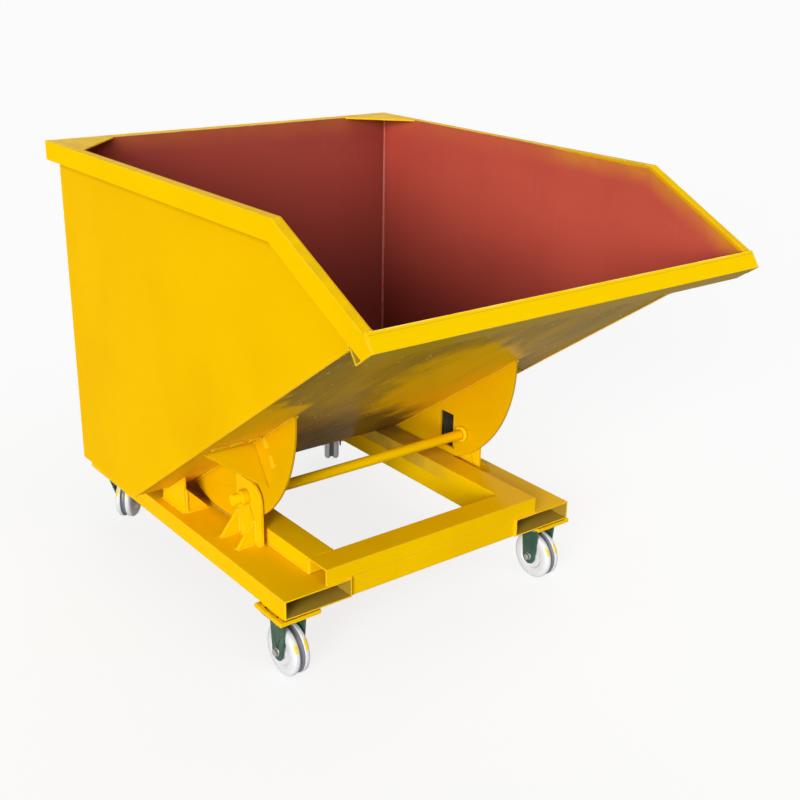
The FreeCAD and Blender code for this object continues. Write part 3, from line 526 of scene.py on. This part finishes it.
# Rockers: two 10 mm plates under the slope, each with a triangular gusset outside, that carry the hopper
# on the pivot axle. They are welded to the floor along both faces; the gussets have short stitches.
SIDES = (("left", -1), ("right", 1))
ROCKER_YELLOW = (0.75, 0.425, 0.0, 1)
ROCKER_YELLOW_DEEP = (0.71, 0.385, 0.0, 1)
GUSSET_YELLOW = (0.76, 0.475, 0.0, 1)
GUSSET_YELLOW_DEEP = (0.72, 0.44, 0.0, 1)
ROCKER_CHORD = 0.704
ROCKER_WELD = 0.005
ROCKER_ROUND = 0.0012
GUSSET_GAUGE = 0.008
GUSSET_DROP = 0.135
STITCH = 0.035
STITCH_GAP = 0.022


def stitches(start, finish):
    """Short runs with gaps between them along one line."""
    length = (finish - start).length
    along = (finish - start).normalized()
    runs = []
    reach = 0.0
    while reach + STITCH < length:
        runs.append([start + along * reach, start + along * (reach + STITCH)])
        reach += STITCH + STITCH_GAP
    return runs


def along_slope(y, z):
    """How far up the slope from the bend a place lies."""
    return (Vector((0, y, z)) - BEND).dot(SLOPE)


def under_slope(reach):
    """The line of a bead on the floor's underside, so far up from the bend."""
    return BEND + SLOPE * reach + DOWN_FROM_SLOPE * SEAM_INSET


def flank(node, sign):
    """Where a node's left face is, for -1, or its right face, for 1."""
    low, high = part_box(node)
    return high.x if sign > 0 else low.x


rocker_nodes = ["left_rocker", "right_rocker"]
gusset_nodes = ["left_rocker_gusset", "right_rocker_gusset"]
rocker_enamel = enamel("rocker_paint", ROCKER_YELLOW, ROCKER_YELLOW_DEEP)
paint(rocker_nodes, rocker_enamel)
gusset_enamel = enamel("gusset_paint", GUSSET_YELLOW, GUSSET_YELLOW_DEEP)
paint(gusset_nodes, gusset_enamel)
soften(rocker_nodes + gusset_nodes, ROCKER_ROUND)
rocker_runs = []
stitch_runs = []
for side, sign in SIDES:
    low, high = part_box(side + "_rocker")
    front_end = along_slope(low.y, high.z)
    rear_end = front_end - ROCKER_CHORD
    for x in (low.x, high.x):
        rocker_runs.append([across(under_slope(rear_end), x), across(under_slope(front_end), x)])
    inner = flank(side + "_rocker", sign)
    outer = flank(side + "_rocker_gusset", sign)
    gusset_low, gusset_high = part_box(side + "_rocker_gusset")
    gusset_top = along_slope(gusset_low.y, gusset_high.z)
    for reach in (gusset_top, gusset_top - GUSSET_GAUGE):
        spot = under_slope(reach)
        stitch_runs += stitches(across(spot, outer), across(spot, inner))
        foot = spot + DOWN_FROM_SLOPE * GUSSET_DROP
        stitch_runs += stitches(across(spot, inner), across(foot, inner))
welds("rocker_welds", rocker_runs, ROCKER_WELD, rocker_enamel, "hopper", seed=6)
welds("rocker_gusset_stitches", stitch_runs, SEAM_RADIUS, gusset_enamel, "hopper", seed=7)

# Pivot axle: one round bar of steel across the trolley, held in both rockers by collars and turning in the
# bosses of the uprights. It is sprayed yellow together with the hopper.
AXLE_YELLOW = (0.95, 0.60, 0.0, 1)
AXLE_YELLOW_DEEP = (0.91, 0.56, 0.0, 1)
AXLE_ROUND = 0.0015
axle_nodes = ["pivot_axle", "axle_collars"]
paint(axle_nodes, enamel("axle_paint", AXLE_YELLOW, AXLE_YELLOW_DEEP))
soften(axle_nodes, AXLE_ROUND)

# Base frame: two flat tubes that take the forks of a lift truck, joined by lower beams and by an upper
# frame of inverted channels. All of it is welded steel under the same gloss yellow.
BASE_YELLOW = (0.92, 0.56, 0.0, 1)
BASE_YELLOW_DEEP = (0.85, 0.49, 0.0, 1)
HOPPER_SHADOW_PAINT = (0.34, 0.21, 0.04, 1)
BASE_GLOSS = 0.008
BASE_WELD = 0.0040
BELOW_FRAME_TOP = 0.002
FRAME_ROUND = 0.0022
POCKET_WALL = 0.005


def from_middle(tree, parts):
    """How far out to either side a place lies."""
    return add(tree, "Math", {0: parts["X"]}, operation="ABSOLUTE").outputs["Value"]


def base_finish():
    """Base enamel, with painted shadow in patches on the frame under the hopper's bottom."""
    material, tree, shader = new_material("base_enamel_paint")
    where, colour, rough, normal = enamel_layers(tree, BASE_YELLOW, BASE_YELLOW_DEEP)
    parts = place_parts(tree, where)
    # painted shadow of the hopper on the frame below its bottom
    under = times(tree, spread(tree, parts["Y"], BACK - 0.85, BACK - 0.50),
                  spread(tree, parts["Y"], BACK + 0.04, BACK - 0.10),
                  spread(tree, from_middle(tree, parts), 0.43, 0.37))
    shadow_patches = spread(tree, noise(tree, where, 9.0, 4.0, 0.6), 0.30, 0.70, 0.45, 0.85)
    colour = blend(tree, times(tree, under, shadow_patches), colour, HOPPER_SHADOW_PAINT)
    cover(tree, shader, colour, rough, normal, BASE_GLOSS)
    return material


def pocket_finish():
    """Base enamel, with painted shade in olive on the walls inside the tubes."""
    material, tree, shader = new_material("fork_pocket_paint")
    where, colour, rough, normal = enamel_layers(tree, BASE_YELLOW, BASE_YELLOW_DEEP)
    low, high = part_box("right_fork_pocket")
    parts = place_parts(tree, where)
    outward = from_middle(tree, parts)
    walls = [sums(tree, "SUBTRACT", outward, low.x), sums(tree, "SUBTRACT", high.x, outward),
             sums(tree, "SUBTRACT", parts["Z"], low.z), sums(tree, "SUBTRACT", high.z, parts["Z"])]
    # painted shade: olive on the walls inside the tubes
    colour = blend(tree, hollow_side(tree, walls, POCKET_WALL), colour, HOLLOW_SHADE_OLIVE)
    cover(tree, shader, colour, rough, normal, BASE_GLOSS)
    return material


base_enamel = base_finish()
frame_nodes = ["front_lower_beam", "rear_lower_beam"]
for place in ("left", "right", "front", "rear"):
    frame_nodes.append(place + "_frame_channel")
pocket_nodes = ["left_fork_pocket", "right_fork_pocket"]
paint(frame_nodes, base_enamel)
paint(pocket_nodes, pocket_finish())
soften(frame_nodes + pocket_nodes, FRAME_ROUND)
POCKET_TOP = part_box("left_fork_pocket")[1].z
FRAME_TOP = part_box("front_frame_channel")[1].z
frame_runs = []
for side, sign in SIDES:
    low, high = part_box(side + "_frame_channel")
    outer = flank(side + "_frame_channel", sign)
    inner = flank(side + "_fork_pocket", -sign)
    frame_runs.append([Vector((outer, low.y, POCKET_TOP)), Vector((outer, high.y, POCKET_TOP))])
    for end in ("front", "rear"):
        cross_low, cross_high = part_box(end + "_frame_channel")
        beam_low, beam_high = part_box(end + "_lower_beam")
        if end == "front":
            joint, face, beam_face = cross_high.y, cross_low.y, beam_low.y
        else:
            joint, face, beam_face = cross_low.y, cross_high.y, beam_high.y
        frame_runs += [
            [Vector((outer, joint, POCKET_TOP)), Vector((outer, joint, FRAME_TOP - BELOW_FRAME_TOP))],
            [Vector((inner, face, POCKET_TOP)), Vector((outer, face, POCKET_TOP))],
            [Vector((inner, beam_face, beam_low.z)), Vector((inner, beam_face, beam_high.z))],
        ]
welds("frame_welds", frame_runs, BASE_WELD, base_enamel, "base", seed=8)

# Pivot uprights and rest saddles: plates standing on the fork tubes, stiffened by triangular gussets. The
# uprights carry the bosses of the pivot axle, the saddles the bend of the hopper floor. A catch plate stands
# beside the right upright, behind the lock slot; its satin black is painted shade, which keeps the slot
# dark.
# the catch plate's satin black is painted shade for the lock slot
CATCH_SHADE_BLACK = (0.012, 0.011, 0.009, 1)
CATCH_DUSTY = (0.045, 0.038, 0.026, 1)
CATCH_GLOSS = 0.15
STAND_ROUND = 0.0014
STAY_GAUGE = 0.01
BELOW_STAY_TOP = 0.004
BOSS_STEPS = 40
BOSS_WELD = 0.003


def catch_finish():
    material, tree, shader = new_material("catch_black_paint")
    where = place_in(tree)
    dust = spread(tree, noise(tree, where, 26.0, 5.0, 0.65), 0.35, 0.75)
    cover(tree, shader, blend(tree, dust, CATCH_SHADE_BLACK, CATCH_DUSTY), spread(tree, dust, 0, 1, 0.38, 0.6),
          bumped(tree, noise(tree, where, 380.0, 1.0), 0.00004), CATCH_GLOSS)
    return material


def stay_runs(rows, wall, tip, top):
    """The welds of upright gussets, along the foot and up the wall, on each of the given faces."""
    runs = []
    for y in rows:
        root = Vector((wall, y, POCKET_TOP))
        runs.append([root, Vector((tip, y, POCKET_TOP))])
        runs.append([root, Vector((wall, y, top - BELOW_STAY_TOP))])
    return runs


stand_nodes = []
for side in ("left", "right"):
    for part in ("upright", "upright_gussets", "pivot_boss", "rest_saddle", "saddle_gusset"):
        stand_nodes.append(f"{side}_{part}")
paint(stand_nodes, base_enamel)
paint(["lock_catch"], catch_finish())
soften(stand_nodes + ["lock_catch"], STAND_ROUND)
stand_runs = []
boss_rings = []
for side, sign in SIDES:
    low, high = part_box(side + "_upright")
    outer = flank(side + "_upright", sign)
    stand_runs.append([Vector((outer, low.y, POCKET_TOP)), Vector((outer, high.y, POCKET_TOP))])
    low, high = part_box(side + "_upright_gussets")
    rows = (low.y, low.y + STAY_GAUGE, high.y - STAY_GAUGE, high.y)
    stand_runs += stay_runs(rows, outer, flank(side + "_upright_gussets", sign), high.z)
    low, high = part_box(side + "_pivot_boss")
    centre = (low + high) / 2
    radius = (high.z - low.z) / 2
    ring = []
    for step in range(BOSS_STEPS):
        turn = 2 * math.pi * step / BOSS_STEPS
        ring.append(Vector((outer, centre.y + radius * math.cos(turn), centre.z + radius * math.sin(turn))))
    boss_rings.append(ring)
    low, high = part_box(side + "_rest_saddle")
    for x in (low.x, high.x):
        stand_runs.append([Vector((x, low.y, POCKET_TOP)), Vector((x, high.y, POCKET_TOP))])
    stay = side + "_saddle_gusset"
    low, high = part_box(stay)
    stand_runs += stay_runs((low.y, high.y), flank(stay, sign), flank(stay, -sign), high.z)
welds("stand_welds", stand_runs, BASE_WELD, base_enamel, "base", seed=9)
welds("boss_welds", boss_rings, BOSS_WELD, base_enamel, "base", seed=10, closed=True)

# Castor pads: flat mounting plates held off the fork tubes by packers, painted with the base. Each castor
# is fastened up into its pad by four zinc-plated hexagon bolts with washers.
CASTORS = ("front_left", "front_right", "rear_left", "rear_right")
PAD_ROUND = 0.0015
FLANGE_GAUGE = 0.006
BOLT_ACROSS = 0.049
BOLT_ALONG = 0.030
BOLT_FLATS = 0.016
BOLT_HEAD = 0.0065
HEAD_CHAMFER = 0.0012
HEAD_TOP_SHARE = 0.93
WASHER_RADIUS = 0.0105
WASHER_THICK = 0.0018
WASHER_CHAMFER = 0.0004
WASHER_SIDES = 28
ZINC = (0.66, 0.66, 0.64, 1)
ZINC_BLOOM = (0.50, 0.50, 0.46, 1)


def zinc_finish():
    material, tree, shader = new_material("bright_zinc")
    where = place_in(tree)
    bloom = spread(tree, noise(tree, where, 60.0, 4.0, 0.6), 0.3, 0.7)
    cover(tree, shader, blend(tree, bloom, ZINC, ZINC_BLOOM), spread(tree, bloom, 0, 1, 0.24, 0.42),
          bumped(tree, noise(tree, where, 900.0, 1.0), 0.00002))
    shader.inputs["Metallic"].default_value = 1.0
    return material


def prism(mesh, rings, sides):
    """Add a closed form from rings of one centre line, each given as (height, radius), in local Z."""
    made = []
    for height, radius in rings:
        ring = []
        for number in range(sides):
            angle = 2 * math.pi * number / sides
            ring.append(mesh.verts.new((radius * math.cos(angle), radius * math.sin(angle), height)))
        made.append(ring)
    for near, far in zip(made, made[1:]):
        for number in range(sides):
            following = (number + 1) % sides
            mesh.faces.new((near[number], near[following], far[following], far[number]))
    mesh.faces.new(list(reversed(made[0])))
    mesh.faces.new(made[-1])
    return [corner for ring in made for corner in ring]


def hex_head(mesh, flats, height, washer_radius, washer_thick, matrix):
    """Add a chamfered hexagon head standing up on a washer."""
    corner = flats / 2 / math.cos(math.pi / 6)
    eased_radius = washer_radius - WASHER_CHAMFER
    washer = [(0, eased_radius), (WASHER_CHAMFER, washer_radius),
              (washer_thick - WASHER_CHAMFER, washer_radius), (washer_thick, eased_radius)]
    head = [(washer_thick, corner), (height - HEAD_CHAMFER, corner), (height, flats / 2 * HEAD_TOP_SHARE)]
    corners = prism(mesh, washer, WASHER_SIDES) + prism(mesh, head, 6)
    bmesh.ops.transform(mesh, matrix=matrix, verts=corners)


pad_nodes = ["castor_packers"]
for castor in CASTORS:
    pad_nodes.append(castor + "_castor_pad")
paint(pad_nodes, base_enamel)
soften(pad_nodes, PAD_ROUND)
bright_zinc = zinc_finish()
bolt_mesh = bmesh.new()
for castor in CASTORS:
    low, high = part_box(castor + "_castor_pad")
    middle = (low + high) / 2
    flange = castor + ("_fork" if castor.startswith("front") else "_race")
    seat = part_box(flange)[1].z - FLANGE_GAUGE
    for x in (-BOLT_ACROSS, BOLT_ACROSS):
        for y in (-BOLT_ALONG, BOLT_ALONG):
            spot = Matrix.Translation((middle.x + x, middle.y + y, seat)) @ Matrix.Rotation(math.pi, 4, "X")
            hex_head(bolt_mesh, BOLT_FLATS, BOLT_HEAD, WASHER_RADIUS, WASHER_THICK, spot)
castor_bolts = finish_piece("castor_hex_bolts", bolt_mesh, bright_zinc, "base")
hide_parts("castor_bolts")

# Castor forks: pressed steel in dark green stoved paint. The front pair is fixed to its flange; the rear
# pair turns under a race on a zinc kingpin.
GREEN = (0.030, 0.098, 0.060, 1)
GREEN_DARK = (0.018, 0.062, 0.038, 1)
GREEN_DUST = (0.12, 0.17, 0.13, 1)
FORK_ROUND = 0.0011
PIN_ROUND = 0.0006


def green_finish():
    material, tree, shader = new_material("green_stoved_paint")
    where = place_in(tree)
    clouds = spread(tree, noise(tree, where, 14.0, 4.0, 0.6), 0.35, 0.7)
    colour = blend(tree, clouds, GREEN, GREEN_DARK)
    dust = spread(tree, noise(tree, where, 75.0, 5.0, 0.7), 0.62, 0.8, 0.0, 0.4)
    cover(tree, shader, blend(tree, dust, colour, GREEN_DUST), spread(tree, clouds, 0, 1, 0.26, 0.40),
          bumped(tree, noise(tree, where, 420.0, 1.0), 0.00004))
    return material


fork_nodes = ["rear_left_race", "rear_right_race"]
pin_nodes = ["rear_left_kingpin", "rear_right_kingpin"]
for castor in CASTORS:
    fork_nodes.append(castor + "_fork")
    pin_nodes.append(castor + "_bush")
paint(fork_nodes, green_finish())
soften(fork_nodes, FORK_ROUND)
paint(pin_nodes, bright_zinc)
soften(pin_nodes, PIN_ROUND)

# Castor wheels: solid white nylon, turned with rounded shoulders, a dished web and a groove around the
# middle of the tread that holds dirt. Each runs on a bush held by a bolt with washers and a nut.
WHEEL_STEPS = 96
REFLECTION_TURN = math.radians(30)
NYLON = (0.73, 0.74, 0.755, 1)
NYLON_SOILED = (0.50, 0.50, 0.50, 1)
GROOVE_DIRT = (0.15, 0.155, 0.18, 1)
TREAD_REFLECTION_YELLOW = (0.86, 0.62, 0.01, 1)
FORK_FACE = 0.0365
AXLE_RADIUS = 0.006
AXLE_SIDES = 20
AXLE_FLATS = 0.019
AXLE_HEAD = 0.011
AXLE_END = 0.004
AXLE_WASHER_RADIUS = 0.0125
AXLE_WASHER_THICK = 0.002
HALF_PROFILE = [  # across the wheel, out from its middle, and how far the corner is eased
    (0.0279, 0.01005, 0.0004),
    (0.0279, 0.0205, 0.0012),
    (0.0225, 0.0220, 0.0025),
    (0.0215, 0.0405, 0.0030),
    (0.0272, 0.0445, 0.0022),
    (0.0279, 0.0630, 0.0075),
    (0.0225, 0.0750, 0.0095),
    (0.0088, 0.0750, 0.0035),
    (0.0048, 0.0680, 0.0012),
]


def eased(corners, steps=4):
    """A closed outline with each corner rounded over its own length."""
    points = []
    for number, (x, y, ease) in enumerate(corners):
        here = Vector((x, y))
        ends = []
        for neighbour in (corners[number - 1], corners[(number + 1) % len(corners)]):
            step = Vector(neighbour[:2]) - here
            ends.append(here + step.normalized() * min(ease, step.length * 0.45))
        start, finish = ends
        for part in range(steps + 1):
            t = part / steps
            points.append(start * (1 - t) ** 2 + here * 2 * t * (1 - t) + finish * t * t)
    return points


def turned(mesh, outline, steps):
    """Add a solid of revolution about local X from a closed outline of (along, radius)."""
    rings = []
    for step in range(steps):
        angle = 2 * math.pi * step / steps
        rings.append([mesh.verts.new((point.x, point.y * math.cos(angle), point.y * math.sin(angle)))
                      for point in outline])
    for step, ring in enumerate(rings):
        following = rings[(step + 1) % steps]
        for number in range(len(outline)):
            last = number - 1
            mesh.faces.new((ring[last], ring[number], following[number], following[last]))


def nylon_finish():
    """White nylon, scuffed on the tread, soiled at the hub and in the groove, with a painted reflection of
    the yellow frame on the tread.
    """
    material, tree, shader = new_material("white_nylon_tread")
    where = place_in(tree)
    parts = place_parts(tree, where)
    square = sums(tree, "ADD", times(tree, parts["Y"], parts["Y"]), times(tree, parts["Z"], parts["Z"]))
    radius = add(tree, "Math", {0: square}, operation="SQRT").outputs["Value"]
    half = from_middle(tree, parts)
    soil = noise(tree, where, 45.0, 5.0, 0.65)
    scuffed = times(tree, spread(tree, radius, 0.066, 0.074), spread(tree, soil, 0.5, 0.75, 0.0, 0.5))
    colour = blend(tree, scuffed, NYLON, NYLON_SOILED)
    hub_dirt = times(tree, spread(tree, radius, 0.030, 0.020), spread(tree, soil, 0.4, 0.7, 0.15, 0.7))
    colour = blend(tree, hub_dirt, colour, NYLON_SOILED)
    in_groove = times(tree, spread(tree, half, 0.0092, 0.0076), spread(tree, radius, 0.0747, 0.0732),
                      spread(tree, radius, 0.060, 0.066))
    colour = blend(tree, in_groove, colour, GROOVE_DIRT)
    # painted reflection of the yellow frame on the tread
    ahead = distance_from(tree, where, (0, 0, 0), (0, -math.cos(REFLECTION_TURN), math.sin(REFLECTION_TURN)))
    tread_reflection = times(tree, spread(tree, sums(tree, "DIVIDE", ahead, radius), 0.968, 0.984),
                spread(tree, radius, 0.068, 0.071), spread(tree, half, 0.0100, 0.0125),
                spread(tree, half, 0.0235, 0.0210), spread(tree, soil, 0.36, 0.50))
    cover(tree, shader, blend(tree, tread_reflection, colour, TREAD_REFLECTION_YELLOW), spread(tree, soil, 0.3, 0.7, 0.32, 0.5),
          bumped(tree, noise(tree, where, 260.0, 2.0), 0.00005))
    return material


white_nylon = nylon_finish()
other_half = [(-x, y, ease) for x, y, ease in reversed(HALF_PROFILE)]
wheel_outline = eased(HALF_PROFILE + other_half)
for joint in frame["joints"]:
    if not joint["name"].endswith("_roll"):
        continue
    castor = joint["name"][:-len("_roll")]
    axle = Vector(joint["axis"])
    turn = Matrix.Rotation(math.atan2(axle.y, axle.x), 4, "Z")
    stand = Matrix.Translation(joint["pos_m"]) @ turn
    wheel_mesh = bmesh.new()
    turned(wheel_mesh, wheel_outline, WHEEL_STEPS)
    wheel = finish_piece(castor + "_nylon_wheel", wheel_mesh, white_nylon, joint["child"])
    wheel.matrix_world = stand
    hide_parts(castor + "_wheel")
    axle_mesh = bmesh.new()
    prism(axle_mesh, [(-FORK_FACE - AXLE_END, AXLE_RADIUS), (FORK_FACE, AXLE_RADIUS)], AXLE_SIDES)
    bmesh.ops.transform(axle_mesh, matrix=Matrix.Rotation(math.pi / 2, 4, "Y"), verts=axle_mesh.verts)
    for face in (-1, 1):
        outward = Matrix.Translation((face * FORK_FACE, 0, 0)) @ Matrix.Rotation(face * math.pi / 2, 4, "Y")
        hex_head(axle_mesh, AXLE_FLATS, AXLE_HEAD, AXLE_WASHER_RADIUS, AXLE_WASHER_THICK, outward)
    bolt = finish_piece(castor + "_wheel_bolt", axle_mesh, bright_zinc, joint["parent"])
    bolt.matrix_world = stand
    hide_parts(castor + "_axle_bolt")

# Studio: a plain pale floor that runs on past the view, even light from all round, a broad key from the
# left, a weaker light from above and in front and a soft fill from behind. The camera stands where the
# photograph's camera did.
FLOOR_HALF = 90.0
FLOOR_PALE = (0.96, 0.96, 0.96, 1)
FLOOR_DIM = (0.42, 0.42, 0.42, 1)  # what the floor throws back onto the object
WHITE = (1, 1, 1, 1)
GLOW_SEEN = 0.8
GLOW_MIRRORED = 0.05
WORLD_LIGHT = 0.16
SUNS = {  # where each stands, its strength and how many degrees wide it is
    "key_left": ((-0.80, -0.55, 0.24), 3.2, 28),
    "above_in_front": ((0.0, -0.55, 0.835), 1.2, 60),
    "fill_behind_right": ((0.74, 0.60, 0.30), 1.3, 70),
}
LENS = 53.397
SENSOR_WIDTH = 36
CLIP_END = 300
AZIMUTH = math.radians(-37.85)
ELEVATION = math.radians(21.01)
ROLL = math.radians(1.08)
DISTANCE = 3.17581
AIM = Vector((-0.13289, BACK - 1.05841, 0.7445))


def looking(tree):
    """1 for rays from the camera, and 1 for rays that come by a mirror or through glass."""
    path = add(tree, "LightPath").outputs
    return path["Is Camera Ray"], sums(tree, "MAXIMUM", path["Is Glossy Ray"], path["Is Transmission Ray"])


floor_mesh = bmesh.new()
bmesh.ops.create_grid(floor_mesh, x_segments=2, y_segments=2, size=FLOOR_HALF)
floor_data = bpy.data.meshes.new("studio_floor")
floor_mesh.to_mesh(floor_data)
floor_mesh.free()
floor = bpy.data.objects.new("studio_floor", floor_data)
bpy.context.scene.collection.objects.link(floor)
floor_paint, tree, shader = new_material("studio_floor_paint")
shader.inputs["Base Color"].default_value = FLOOR_PALE
shader.inputs["Roughness"].default_value = 0.9
shader.inputs["Specular IOR Level"].default_value = 0.0
dim = add(tree, "BsdfDiffuse", {"Color": FLOOR_DIM})
glow = add(tree, "Emission", {"Color": WHITE, "Strength": 1.0})
straight, mirrored = looking(tree)
seen = sums(tree, "MAXIMUM", straight, mirrored)
share = sums(tree, "ADD", times(tree, straight, GLOW_SEEN), times(tree, mirrored, GLOW_MIRRORED))
lit = add(tree, "MixShader", {0: seen, 1: dim.outputs["BSDF"], 2: shader.outputs["BSDF"]})
mixed = add(tree, "MixShader", {0: share, 1: lit.outputs["Shader"], 2: glow.outputs["Emission"]})
tree.links.new(mixed.outputs["Shader"], tree.nodes["Material Output"].inputs["Surface"])
floor_data.materials.append(floor_paint)

world = bpy.data.worlds.new("studio")
bpy.context.scene.world = world
world.use_nodes = True
sky = world.node_tree
in_view = sums(sky, "MAXIMUM", *looking(sky))
level = add(sky, "MapRange", {"Value": in_view, "To Min": WORLD_LIGHT, "To Max": 1.0})
sky.links.new(level.outputs["Result"], sky.nodes["Background"].inputs["Strength"])
sky.nodes["Background"].inputs["Color"].default_value = WHITE

for name, (towards, strength, width) in SUNS.items():
    lamp = bpy.data.lights.new(name, "SUN")
    lamp.energy = strength
    lamp.angle = math.radians(width)
    holder = bpy.data.objects.new(name, lamp)
    holder.rotation_mode = "QUATERNION"
    holder.rotation_quaternion = Vector(towards).to_track_quat("Z", "Y")
    bpy.context.scene.collection.objects.link(holder)

toward = Vector((math.sin(AZIMUTH) * math.cos(ELEVATION), -math.cos(AZIMUTH) * math.cos(ELEVATION),
                 math.sin(ELEVATION)))
level_right = Vector((math.cos(AZIMUTH), math.sin(AZIMUTH), 0))
level_up = toward.cross(level_right)
right = level_right * math.cos(ROLL) + level_up * math.sin(ROLL)
above = level_up * math.cos(ROLL) - level_right * math.sin(ROLL)
camera_data = bpy.data.cameras.new("photo_camera")
camera_data.lens = LENS
camera_data.sensor_width = SENSOR_WIDTH
camera_data.clip_end = CLIP_END
camera = bpy.data.objects.new("photo_camera", camera_data)
stance = Matrix((right, above, toward)).transposed().to_4x4()
camera.matrix_world = Matrix.Translation(AIM + toward * DISTANCE) @ stance
bpy.context.scene.collection.objects.link(camera)
bpy.context.scene.camera = camera
bpy.context.scene.view_settings.view_transform = "Standard"
